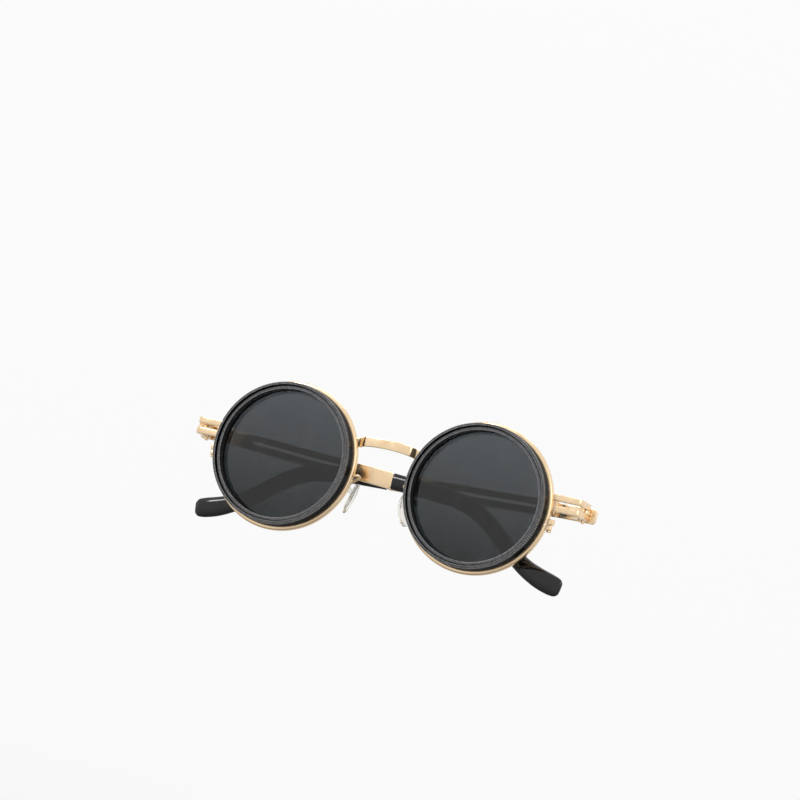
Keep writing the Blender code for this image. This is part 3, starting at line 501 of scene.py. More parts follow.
class Bench:
    """A material with a Principled shader and short ways to add nodes to it."""

    def __init__(self, name: str) -> None:
        """Starts the material.

        Args:
            name: The material's name.
        """
        self.material = bpy.data.materials.new(name)
        self.material.use_nodes = True
        self.tree = self.material.node_tree
        self.shader = self.tree.nodes["Principled BSDF"]
        self.place = self.tree.nodes.new("ShaderNodeTexCoord").outputs["Object"]

    def set(self, **values: float | Colour) -> None:
        """Sets shader sockets; an underscore in a name stands for a space."""
        for name, value in values.items():
            self.shader.inputs[name.replace("_", " ")].default_value = value

    def link(self, source: bpy.types.NodeSocket, socket: str) -> None:
        """Joins a socket to one of the shader's."""
        self.tree.links.new(source, self.shader.inputs[socket])

    def noise(self, size_mm: float, detail: float = 3.0,
              stretch: Point3 = (1.0, 1.0, 1.0)) -> bpy.types.NodeSocket:
        """Adds a noise.

        Args:
            size_mm: Size of its spots.
            detail: Finer layers in it.
            stretch: Scale along each axis; a small value draws the spots out.

        Returns:
            Its value, about 0 to 1.
        """
        mapping = self.tree.nodes.new("ShaderNodeMapping")
        mapping.inputs["Scale"].default_value = stretch
        self.tree.links.new(self.place, mapping.inputs["Vector"])
        node = self.tree.nodes.new("ShaderNodeTexNoise")
        node.inputs["Scale"].default_value = 1.0 / (size_mm * MM)
        node.inputs["Detail"].default_value = detail
        self.tree.links.new(mapping.outputs["Vector"], node.inputs["Vector"])
        return node.outputs["Fac"]

    def rings(self, centre: Vector, pitch_mm: float) -> bpy.types.NodeSocket:
        """Adds fine turning marks round a lens axis.

        Args:
            centre: A point on the axis, in metres.
            pitch_mm: Distance from mark to mark.

        Returns:
            Their height, 0 to 1.
        """
        mapping = self.tree.nodes.new("ShaderNodeMapping")
        mapping.inputs["Location"].default_value = -centre
        self.tree.links.new(self.place, mapping.inputs["Vector"])
        node = self.tree.nodes.new("ShaderNodeTexWave")
        node.wave_type = "RINGS"
        node.rings_direction = "Y"
        node.inputs["Scale"].default_value = 0.314 / (pitch_mm * MM)
        node.inputs["Distortion"].default_value = 0.6
        node.inputs["Detail"].default_value = 1.0
        self.tree.links.new(mapping.outputs["Vector"], node.inputs["Vector"])
        return node.outputs["Fac"]

    def worn(self) -> bpy.types.NodeSocket:
        """Adds the vertices' wear value, which on the filter rings' front faces is a painted sheen.

        Returns:
            The value, 0 to 1.
        """
        node = self.tree.nodes.new("ShaderNodeAttribute")
        node.attribute_name = WEAR
        return node.outputs["Fac"]

    def spread(self, source: bpy.types.NodeSocket, low: float, high: float,
               edges: Point2 = (0.3, 0.7)) -> bpy.types.NodeSocket:
        """Maps a value onto a range.

        Args:
            source: The value.
            low: Result at the lower edge.
            high: Result at the upper edge.
            edges: Values of the source that give low and high.

        Returns:
            The mapped value.
        """
        node = self.tree.nodes.new("ShaderNodeMapRange")
        names = ("From Min", "From Max", "To Min", "To Max")
        for name, value in zip(names, (*edges, low, high)):
            node.inputs[name].default_value = value
        self.tree.links.new(source, node.inputs["Value"])
        return node.outputs["Result"]

    def sum(self, first: bpy.types.NodeSocket, second: bpy.types.NodeSocket,
            way: Sum = Sum.ADD) -> bpy.types.NodeSocket:
        """Joins two values with a Math node.

        Args:
            first: One value.
            second: The other.
            way: The node's operation.

        Returns:
            The result.
        """
        node = self.tree.nodes.new("ShaderNodeMath")
        node.operation = way.name
        self.tree.links.new(first, node.inputs[0])
        self.tree.links.new(second, node.inputs[1])
        return node.outputs["Value"]

    def blend(self, factor: bpy.types.NodeSocket, first: Colour | bpy.types.NodeSocket,
              second: Colour) -> bpy.types.NodeSocket:
        """Mixes two colours and makes them the shader's own.

        Args:
            factor: Share of the second.
            first: A colour or a colour socket.
            second: A colour.

        Returns:
            The mixed colour.
        """
        node = self.tree.nodes.new("ShaderNodeMix")
        node.data_type = "RGBA"
        self.tree.links.new(factor, node.inputs["Factor"])
        colours = [item for item in node.inputs if item.type == "RGBA"]
        if isinstance(first, bpy.types.NodeSocket):
            self.tree.links.new(first, colours[0])
        else:
            colours[0].default_value = first
        colours[1].default_value = second
        self.tree.links.new(node.outputs[2], self.shader.inputs["Base Color"])
        return node.outputs[2]

    def bump(self, height: bpy.types.NodeSocket, depth_mm: float, strength: float) -> None:
        """Adds surface relief.

        Args:
            height: Its height, 0 to 1.
            depth_mm: How deep the relief is.
            strength: How strongly it shows.
        """
        node = self.tree.nodes.new("ShaderNodeBump")
        node.inputs["Distance"].default_value = depth_mm * MM
        node.inputs["Strength"].default_value = strength
        self.tree.links.new(height, node.inputs["Height"])
        self.tree.links.new(node.outputs["Normal"], self.shader.inputs["Normal"])


@dataclass(frozen=True)
class GoldPlate:
    """Pale satin gold plating, polished where fingers rub its edges."""

    name: str
    colour: Colour = (0.83, 0.61, 0.375, 1.0)
    light: Colour = (0.93, 0.72, 0.475, 1.0)
    rubbed: Colour = (0.98, 0.86, 0.65, 1.0)
    rough: Point2 = (0.17, 0.25)
    grain: Point3 = (0.05, 1.0, 1.0)

    def material(self) -> bpy.types.Material:
        """Builds the material.

        Returns:
            The material.
        """
        bench = Bench(self.name)
        bench.set(Metallic=1.0)
        cloud = bench.noise(3.5)
        brushed = bench.noise(0.09, 2.0, self.grain)
        streaky = bench.sum(bench.spread(cloud, 0.0, 0.8), bench.spread(brushed, -0.25, 0.35))
        tone = bench.blend(streaky, self.colour, self.light)
        bench.blend(bench.spread(bench.worn(), 0.0, 0.75, (0.0, 1.0)), tone, self.rubbed)
        rough = bench.sum(bench.spread(cloud, *self.rough), bench.spread(brushed, -0.03, 0.05))
        bench.link(bench.sum(rough, bench.spread(bench.worn(), 0.0, -0.06, (0.0, 1.0))), "Roughness")
        bench.bump(brushed, 0.003, 0.25)
        return bench.material


@dataclass(frozen=True)
class Anodised:
    """Dark anodised aluminium with turning marks, edges worn a little bright and front faces painted lighter
    as a painted sheen.
    """

    name: str
    side: Side
    colour: Colour
    rubbed: Colour
    rough: Point2
    shine: float

    def material(self) -> bpy.types.Material:
        """Builds the material.

        Returns:
            The material.
        """
        bench = Bench(self.name)
        bench.set(Specular_IOR_Level=self.shine)
        cloud = bench.noise(2.0, 4.0)
        fine = bench.noise(0.12)
        centre = Vector((self.side.lens_x, FRONT_Y, LENS_HEIGHT)) * MM
        marks = bench.rings(centre, 0.11)
        patchy_wear_and_sheen = bench.sum(bench.worn(), bench.spread(bench.noise(0.5), 0.35, 1.0), Sum.MULTIPLY)
        # The pale second colour shows wear on edges and painted sheen on the front faces
        bench.blend(patchy_wear_and_sheen, self.colour, self.rubbed)
        bench.link(bench.sum(bench.spread(cloud, *self.rough), bench.spread(fine, -0.03, 0.04)), "Roughness")
        bench.bump(bench.sum(marks, fine), 0.002, 0.25)
        return bench.material


@dataclass(frozen=True)
class Glazing:
    """Polished tinted lens material with faint smears, paler at its upper edge and darker at its lower one as
    a painted sheen.
    """

    name: str
    upper: Colour
    lower: Colour
    smear: float = 0.3
    haze: float = 0.25
    painted_sheen_half: float = 20.0

    def material(self) -> bpy.types.Material:
        """Builds the material.

        Returns:
            The material.
        """
        bench = Bench(self.name)
        bench.set(Transmission_Weight=1.0, IOR=1.5, Roughness=0.0, Coat_Roughness=self.haze)
        split = bench.tree.nodes.new("ShaderNodeSeparateXYZ")
        bench.tree.links.new(bench.place, split.inputs["Vector"])
        low, high = (LENS_HEIGHT - self.painted_sheen_half) * MM, (LENS_HEIGHT + self.painted_sheen_half) * MM
        # Painted sheen: the colour goes from the darker lower edge to the paler upper one
        bench.blend(bench.spread(split.outputs["Z"], 0.0, 1.0, (low, high)), self.lower, self.upper)
        smears = bench.noise(6.0, 5.0, (1.0, 1.0, 0.35))
        bench.link(bench.spread(smears, 0.0, self.smear, (0.5, 0.8)), "Coat Weight")
        return bench.material


@dataclass(frozen=True)
class Acetate:
    """Black polished plastic of the tips, with the soft waves that polishing leaves."""

    name: str
    colour: Colour = (0.003, 0.003, 0.0032, 1.0)
    cloudy: Colour = (0.007, 0.0065, 0.0065, 1.0)

    def material(self) -> bpy.types.Material:
        """Builds the material.

        Returns:
            The material.
        """
        bench = Bench(self.name)
        bench.set(Specular_IOR_Level=0.45)
        waves = bench.noise(4.0, 2.0)
        scuffs = bench.noise(0.25, 4.0, (0.15, 1.0, 1.0))
        bench.blend(bench.spread(waves, 0.0, 1.0), self.colour, self.cloudy)
        scuffed = bench.spread(scuffs, 0.0, 0.06, (0.5, 0.8))
        bench.link(bench.sum(bench.spread(waves, 0.05, 0.10), scuffed), "Roughness")
        bench.bump(waves, 0.03, 0.2)
        return bench.material


@dataclass(frozen=True)
class Silicone:
    """Clear soft silicone of the nose pads, a little milky and matt."""

    name: str
    colour: Colour = (0.93, 0.92, 0.88, 1.0)
    milky: Colour = (0.86, 0.84, 0.78, 1.0)

    def material(self) -> bpy.types.Material:
        """Builds the material.

        Returns:
            The material.
        """
        bench = Bench(self.name)
        bench.set(Transmission_Weight=0.96, IOR=1.41)
        cloud = bench.noise(1.5, 4.0)
        bench.blend(bench.spread(cloud, 0.0, 1.0), self.colour, self.milky)
        bench.link(bench.spread(cloud, 0.06, 0.14), "Roughness")
        bench.bump(bench.noise(0.4), 0.01, 0.08)
        return bench.material


@dataclass(frozen=True)
class Rubber:
    """Matt black rubber of the seals."""

    name: str
    colour: Colour = (0.018, 0.018, 0.018, 1.0)
    dusty: Colour = (0.045, 0.044, 0.042, 1.0)

    def material(self) -> bpy.types.Material:
        """Builds the material.

        Returns:
            The material.
        """
        bench = Bench(self.name)
        dust = bench.noise(0.6, 5.0)
        bench.blend(bench.spread(dust, 0.0, 1.0, (0.45, 0.8)), self.colour, self.dusty)
        bench.link(bench.spread(dust, 0.6, 0.85), "Roughness")
        bench.bump(bench.noise(0.1), 0.01, 0.4)
        return bench.material


@dataclass(frozen=True)
class Paint:
    """The finishes of the whole object."""

    gold: bpy.types.Material
    screw: bpy.types.Material
    ring: dict[Side, bpy.types.Material]
    retainer: dict[Side, bpy.types.Material]
    smoke: bpy.types.Material
    clear: bpy.types.Material
    tip: bpy.types.Material
    pad: bpy.types.Material
    seal: bpy.types.Material

    @classmethod
    def mixed(cls) -> "Paint":
        """Builds every finish.

        Returns:
            The finishes.
        """
        ring, retainer = {}, {}
        for side in Side:
            # The second colour of each is for worn edges and, on the front faces, painted sheen
            ring[side] = Anodised(side.word + "_ring_black", side, (0.004, 0.004, 0.0045, 1.0),
                                  (0.42, 0.42, 0.43, 1.0), (0.18, 0.30), 0.1).material()
            retainer[side] = Anodised(side.word + "_retainer_grey", side, (0.016, 0.016, 0.017, 1.0),
                                      (0.40, 0.40, 0.42, 1.0), (0.22, 0.34), 0.4).material()
        return cls(
            gold=GoldPlate("gold_plate").material(),
            screw=GoldPlate("gold_screws", rough=(0.14, 0.24), grain=(1.0, 1.0, 1.0)).material(),
            ring=ring,
            retainer=retainer,
            smoke=Glazing("smoke_tint", (0.063, 0.072, 0.079, 1.0), (0.006, 0.010, 0.010, 1.0)).material(),
            clear=Glazing("clear_glass", (0.975, 0.985, 0.98, 1.0), (0.97, 0.98, 0.975, 1.0)).material(),
            tip=Acetate("tip_acetate").material(),
            pad=Silicone("pad_silicone").material(),
            seal=Rubber("seal_rubber").material(),
        )


def rim_core(side: Side, height: float = 0.0) -> Blank:
    """Makes a cylinder that trims what is soldered to a rim, and leaves a little overlap.

    Args:
        side: Whose rim.
        height: Level of the work's own origin over the lens centre line.

    Returns:
        The cylinder.
    """
    core = Blank().rod(RIM_OUTER_R - SOLDER_OVERLAP, *RIM_CORE, 300)
    return core.moved(Matrix.Translation((side.lens_x, 0.0, -height)) @ RUN_BACK)


def slotted(radius: float, low: float, high: float, shank: Point3, slot_top: bool) -> Blank:
    """Makes a slotted screw along Z.

    Args:
        radius: Radius of the head.
        low: Level of the head's lower face.
        high: Level of its upper face.
        shank: Radius, lower and upper level of the shank.
        slot_top: Whether the slot is in the upper face.

    Returns:
        The screw.
    """
    screw = Blank().rod(shank[0], shank[1], shank[2], 32, 0.06)
    screw.combine(Blank().rod(radius, low, high, 48, 0.12), Join.ADD)
    levels = (high - SCREW_SLOT_DEEP, high + 1.0) if slot_top else (low - 1.0, low + SCREW_SLOT_DEEP)
    wide = radius + 0.4
    slot = Blank().plate(oblong((-wide, -SCREW_SLOT_HALF), (wide, SCREW_SLOT_HALF)), *levels)
    return screw.combine(slot, Join.CUT)


@dataclass
class RingFilter:
    """The screw-on ring of one side, with its retaining ring and tinted lens."""

    side: Side
    lip_r: float = 23.5
    lip_length: float = 1.5
    neck_r: float = 23.2
    neck: Point2 = (2.4, 4.3)
    flare_r: float = 23.7
    bore_r: float = 22.62
    spigot_r: float = 22.9
    spigot_end: float = 6.2
    pocket_r: float = 22.0
    seat_r: float = 21.2
    seat_depth: float = 5.6
    lens_r: float = 21.95
    lens_front: float = 3.9
    lens_thick: float = 1.3
    retainer_r: Point2 = (21.3, 22.55)
    retainer_front: float = 1.0
    retainer_step: Point2 = (0.43, 0.6)
    teeth: int = 192
    tooth_spans: int = 4
    tooth_depth: float = 0.16
    # Value given to the front faces, which paints them lighter: painted sheen
    painted_face_sheen: float = 0.33
    shoulder_gap: float = 0.06
    seal_width: float = 0.6
    seal_gap: float = 0.03

    @property
    def body(self) -> str:
        """The body that the ring turns with."""
        return self.side.word + "_filter"

    def ring(self) -> Blank:
        """Turns the ring and cuts the coin edge round its lip.

        Returns:
            The ring.
        """
        shoulder, pocket = RIM_FRONT - self.shoulder_gap, self.lens_front - 0.02
        corners = [(self.bore_r, 0.0, 0.14), (self.lip_r, 0.0, 0.32), (self.lip_r, self.lip_length, 0.12),
                   (self.neck_r, self.lip_length + 0.2, 0.15), (self.neck_r, self.neck[0], 0.5),
                   (self.flare_r, self.neck[1], 0.5), (self.flare_r, shoulder, 0.12),
                   (self.spigot_r, shoulder, 0.0), (self.spigot_r, self.spigot_end, 0.1),
                   (self.seat_r, self.spigot_end, 0.1), (self.seat_r, self.seat_depth, 0.0),
                   (self.pocket_r, self.seat_depth, 0.0), (self.pocket_r, pocket, 0.0),
                   (self.bore_r, pocket, 0.0)]
        spans = self.tooth_spans * self.teeth
        blank = Blank().turn(filleted(corners, True, 4), spans)
        inner, step = self.lip_r - 0.3, 2.0 * math.pi / spans
        for vert in blank.bm.verts:
            radius = math.hypot(vert.co.x, vert.co.y)
            if vert.co.z > self.lip_length + 0.05 or radius < inner:
                continue
            # Crests get full value and notches none, so the crests show the pale colour: partly worn crests,
            # partly painted glints
            if round(math.atan2(vert.co.y, vert.co.x) / step) % self.tooth_spans >= self.tooth_spans // 2:
                share = min(1.0, (radius - inner) / 0.15)
                vert.co.xy *= 1.0 - share * self.tooth_depth / radius
                vert[blank.wear] = 0.0
            else:
                vert[blank.wear] = 1.0
        # The front face is painted lighter all over as a painted sheen
        return self.rubbed(blank, 0.0)

    def rubbed(self, blank: Blank, level: float) -> Blank:
        """Paints a flat front face lighter all over: a painted sheen standing for reflected light, not wear.

        Args:
            blank: The turned ring.
            level: Where along the axis the face lies.

        Returns:
            The same ring.
        """
        for vert in blank.bm.verts:
            if abs(vert.co.z - level) < MERGE_MM:
                vert[blank.wear] = self.painted_face_sheen
        return blank

    def retainer(self) -> Blank:
        """Turns the retaining ring in front of the lens, stepped back at its outer edge.

        Returns:
            The retaining ring.
        """
        inner, outer = self.retainer_r
        front, back = self.retainer_front, self.lens_front - 0.05
        step, floor = outer - self.retainer_step[0], front + self.retainer_step[1]
        corners = [(inner, front, 0.12), (step, front, 0.1), (step, floor, 0.0), (outer, floor, 0.0),
                   (outer, back, 0.0), (inner, back, 0.0)]
        # The front face is painted lighter all over as a painted sheen
        return self.rubbed(Blank().turn(filleted(corners, True, 4), 288), front)

    def lens(self) -> Blank:
        """Turns the flat tinted lens.

        Returns:
            The lens.
        """
        front, back = self.lens_front, self.lens_front + self.lens_thick
        corners = [(0.0, front, 0.0), (self.lens_r, front, 0.15), (self.lens_r, back, 0.15), (0.0, back, 0.0)]
        return Blank().turn(filleted(corners, False, 3), 288)

    def seal(self) -> Blank:
        """Turns the rubber ring between the lens and its seat.

        Returns:
            The seal.
        """
        front = self.lens_front + self.lens_thick + self.seal_gap
        back = self.seat_depth - self.seal_gap
        inner, outer = self.lens_r - self.seal_width, self.lens_r
        corners = [(inner, front, 0.08), (outer, front, 0.08), (outer, back, 0.08), (inner, back, 0.08)]
        return Blank().turn(filleted(corners, True, 3), 192)

    def build(self, fitter: Fitter, paint: Paint) -> None:
        """Makes and fits the pieces.

        Args:
            fitter: Fits each piece.
            paint: The finishes.
        """
        place, word = lens_place(self.side), self.side.word
        fitter.fit(self.ring(), place, word + "_filter_ring", self.body, paint.ring[self.side])
        fitter.fit(self.retainer(), place, word + "_filter_retainer", self.body,
                   paint.retainer[self.side])
        fitter.fit(self.lens(), place, word + "_filter_lens", self.body, paint.smoke)
        fitter.fit(self.seal(), place, word + "_filter_seal", word + "_seal", paint.seal)


@dataclass
class Rim:
    """The eyewire of one side, with its closing block, screw and clear lens."""

    side: Side
    bore_r: float = 23.05
    land_r: float = 22.6
    groove_r: float = 23.35
    groove_depth: float = 7.0
    groove_half: float = 0.5
    land_front: float = 6.35
    back: float = 7.6
    split_height: float = -3.5
    split_gap: float = 0.3
    block_x: float = 59.3
    block_reach: float = 1.65
    block_upper: Point2 = (1.05, 1.1)
    block_lower: Point2 = (0.75, 1.0)
    block_top: float = 2.0
    block_bottom: float = -1.6
    block_depth: float = 6.3
    lens_edge_r: float = 22.4
    lens_edge_half: float = 0.4
    lens_sag: Point2 = (1.1, 0.8)
    screw_head_r: float = 0.75
    screw_head: Point2 = (-2.25, -1.64)
    screw_shank: Point3 = (0.5, -1.9, 1.5)

    def wire(self) -> Blank:
        """Turns the split eyewire and adds both halves of the closing block.

        Returns:
            The eyewire.
        """
        groove, half_groove = self.groove_depth, self.groove_half
        corners = [(self.bore_r, RIM_FRONT, 0.15), (RIM_OUTER_R, RIM_FRONT, 0.75),
                   (RIM_OUTER_R, self.back, 0.95), (self.land_r, self.back, 0.12),
                   (self.land_r, groove + half_groove, 0.0), (self.groove_r, groove, 0.0),
                   (self.land_r, groove - half_groove, 0.0), (self.land_r, self.land_front, 0.0),
                   (self.bore_r, self.land_front, 0.0)]
        middle = (self.bore_r + RIM_OUTER_R) / 2.0
        split = math.degrees(math.asin(-self.split_height / middle))
        if self.side is Side.RIGHT:
            split = 180.0 - split
        half = math.degrees(self.split_gap / 2.0 / middle)
        wire = Blank().turn(filleted(corners, True, 4), 300, split + half, 360.0 - 2.0 * half)
        face = self.split_gap / 2.0
        for far, half, low, high in ((*self.block_upper, face, self.block_top),
                                     (*self.block_lower, self.block_bottom, -face)):
            block = Blank().plate(oblong((-self.block_reach, -half), (far, half)), low, high, 0.25, 4)
            wire.combine(block.moved(self.block_place()), Join.ADD)
        return wire

    def block_place(self) -> Matrix:
        """Finds the place of the closing block on the turned rim.

        Returns:
            Matrix from the block's upright axes to the rim's.
        """
        across = self.side.value * (self.block_x - LENS_PITCH / 2.0)
        axes = Matrix(((self.side.value, 0, 0), (0, 0, -1), (0, 1, 0))).to_4x4()
        return Matrix.Translation((across, -self.split_height, self.block_depth)) @ axes

    def clear_lens(self) -> Blank:
        """Turns the clear meniscus lens with its bevelled edge.

        Returns:
            The lens.
        """
        edge_r, sags = self.lens_edge_r, self.lens_sag
        front = self.groove_depth - self.lens_edge_half - sags[0]
        back = self.groove_depth + self.lens_edge_half - sags[1]
        shares = [i / 12.0 for i in range(13)]
        corners = [(share * edge_r, front + sags[0] * share**2, 0.0) for share in shares]
        corners.append((self.groove_r - 0.15, self.groove_depth, 0.0))
        corners += [(share * edge_r, back + sags[1] * share**2, 0.0) for share in reversed(shares)]
        return Blank().turn(corners, 240)

    def build(self, fitter: Fitter, paint: Paint) -> None:
        """Makes and fits the pieces.

        Args:
            fitter: Fits each piece.
            paint: The finishes.
        """
        place, word = lens_place(self.side), self.side.word
        fitter.fit(self.wire(), place, word + "_rim", "front", paint.gold)
        fitter.fit(self.clear_lens(), place, word + "_clear_lens", "front", paint.clear)
        screw = slotted(self.screw_head_r, *self.screw_head, self.screw_shank, False)
        spot = front_place(self.side.value * self.block_x, self.block_depth, self.split_height)
        fitter.fit(screw, spot, word + "_rim_screw", "front", paint.screw)


@dataclass
class Bridge:
    """The flat strap between the rims."""

    height: float = 3.2
    thick: float = 0.95
    half_gap: float = 9.25
    up: float = 9.45
    edge_round: float = 0.28
    arch: tuple[Point3, ...] = ((0.0, -0.9, 0.9), (0.28, -0.85, 0.85), (0.56, -0.7, 0.7), (0.78, -0.5, 0.5))
    foot: tuple[Point3, ...] = (
        (-1.25, -0.2, 0.4), (-0.55, 0.4, 0.3), (0.15, 1.0, 0.15), (1.05, 1.3, 0.0), (2.95, 1.35, -0.25),
    )

    def strap(self) -> Blank:
        """Sweeps the strap and trims its ends to the rims.

        The arch's points are a share of half the gap, and the foot's lie past its end. Both go on with the
        distance back from the rim's front and the rise over the strap's own height.

        Returns:
            The strap.
        """
        line = [(share * self.half_gap, back, rise) for share, back, rise in self.arch]
        line += [(self.half_gap + past, back, rise) for past, back, rise in self.foot]
        half = [(x, RIM_FRONT + back, self.up + rise) for x, back, rise in line]
        points = [(-x, depth, level) for x, depth, level in reversed(half[1:])] + half
        section = soft_box(self.thick / 2.0, self.height / 2.0, self.edge_round)
        strap = Blank().sweep(stations(smooth_path(points, 6)), section)
        for side in Side:
            strap.combine(rim_core(side), Join.CUT)
        return strap

    def build(self, fitter: Fitter, paint: Paint) -> None:
        """Makes and fits the strap.

        Args:
            fitter: Fits each piece.
            paint: The finishes.
        """
        fitter.fit(self.strap(), front_place(), "bridge", "front", paint.gold)


@dataclass
class EndPiece:
    """The two bars at the outer edge of one rim, with the hinge screw through their knuckles."""

    side: Side
    rim_edge_x: float = 58.75
    bar_front: float = 6.1
    bar_thick: float = 1.35
    bar_height: float = 2.1
    bar_space: float = 1.4
    root_reach: float = 2.15
    corner_r: float = 1.8
    corner_in: float = 0.4
    inner_r: float = 0.6
    edge_round: float = 0.22
    neck: float = 2.2
    knuckle_r: float = 1.4
    knuckle_wrap: float = 255.0
    link_reach: Point2 = (1.75, 1.25)
    link_run: Point2 = (0.3, 1.8)
    link_overlap: float = 0.8
    head_r: float = 0.95
    head_deep: float = 0.6
    shank_r: float = 0.6

    def outline(self) -> list[Point2]:
        """Draws one bar seen from above: out from the rim, round the corner and back to its knuckle.

        Returns:
            The outline, as X and depth.
        """
        outer = HINGE_X + self.knuckle_r
        inner = outer - self.bar_thick
        front, back = self.bar_front, self.bar_front + self.bar_thick
        root = self.rim_edge_x - self.root_reach
        bend, inner_bend = outer - self.corner_in - self.corner_r, inner - self.corner_in - self.inner_r
        points = [(root, front)]
        points += arc((bend, front + self.corner_r), self.corner_r, -90.0, 90.0, 10)
        points += arc((HINGE_X, HINGE_DEPTH), self.knuckle_r, 0.0, self.knuckle_wrap, 24)
        points.append((inner, HINGE_DEPTH - self.neck))
        points += arc((inner_bend, back + self.inner_r), self.inner_r, 0.0, -90.0, 6)
        points.append((root, back))
        return [(self.side.value * x, depth) for x, depth in points]

    def bars(self) -> Blank:
        """Makes both bars, the links between them and the seat of the screw head.

        Returns:
            The end piece.
        """
        half, sign = self.bar_space / 2.0, self.side.value
        top, tall = half + self.bar_height, half + self.link_overlap
        piece = Blank().plate(self.outline(), half, top, self.edge_round)
        piece.combine(Blank().plate(self.outline(), -top, -half, self.edge_round), Join.ADD)
        deep = (self.bar_front + 0.25, self.bar_front + self.bar_thick - 0.15)
        at_rim = (self.rim_edge_x - self.link_reach[0], self.rim_edge_x + self.link_reach[1])
        outer = HINGE_X + self.knuckle_r - 0.8 * self.corner_in
        wall = (outer - self.bar_thick + 0.15, outer - 0.2)
        bend = self.bar_front + self.corner_r
        run = (bend + self.link_run[0], bend + self.link_run[1])
        for across, along in ((at_rim, deep), (wall, run)):
            corners = oblong((sign * across[0], along[0]), (sign * across[1], along[1]))
            piece.combine(Blank().plate(corners, -tall, tall), Join.ADD)
        axis = Matrix.Translation((sign * HINGE_X, HINGE_DEPTH, 0.0))
        pocket = Blank().rod(self.head_r + 0.05, top - self.head_deep - 0.05, top + 1.0)
        piece.combine(pocket.moved(axis), Join.CUT)
        return piece.combine(rim_core(self.side, HINGE_HEIGHT), Join.CUT)

    def build(self, fitter: Fitter, paint: Paint) -> None:
        """Makes and fits the pieces.

        Args:
            fitter: Fits each piece.
            paint: The finishes.
        """
        word, place = self.side.word, front_place(height=HINGE_HEIGHT)
        fitter.fit(self.bars(), place, word + "_end_piece", "front", paint.gold)
        top = self.bar_space / 2.0 + self.bar_height
        shank = (self.shank_r, -top - 1.0, top - 0.3)
        screw = slotted(self.head_r, top - self.head_deep, top - 0.02, shank, True)
        spot = front_place(self.side.value * HINGE_X, HINGE_DEPTH, HINGE_HEIGHT)
        fitter.fit(screw, spot, word + "_hinge_screw", "front", paint.screw)


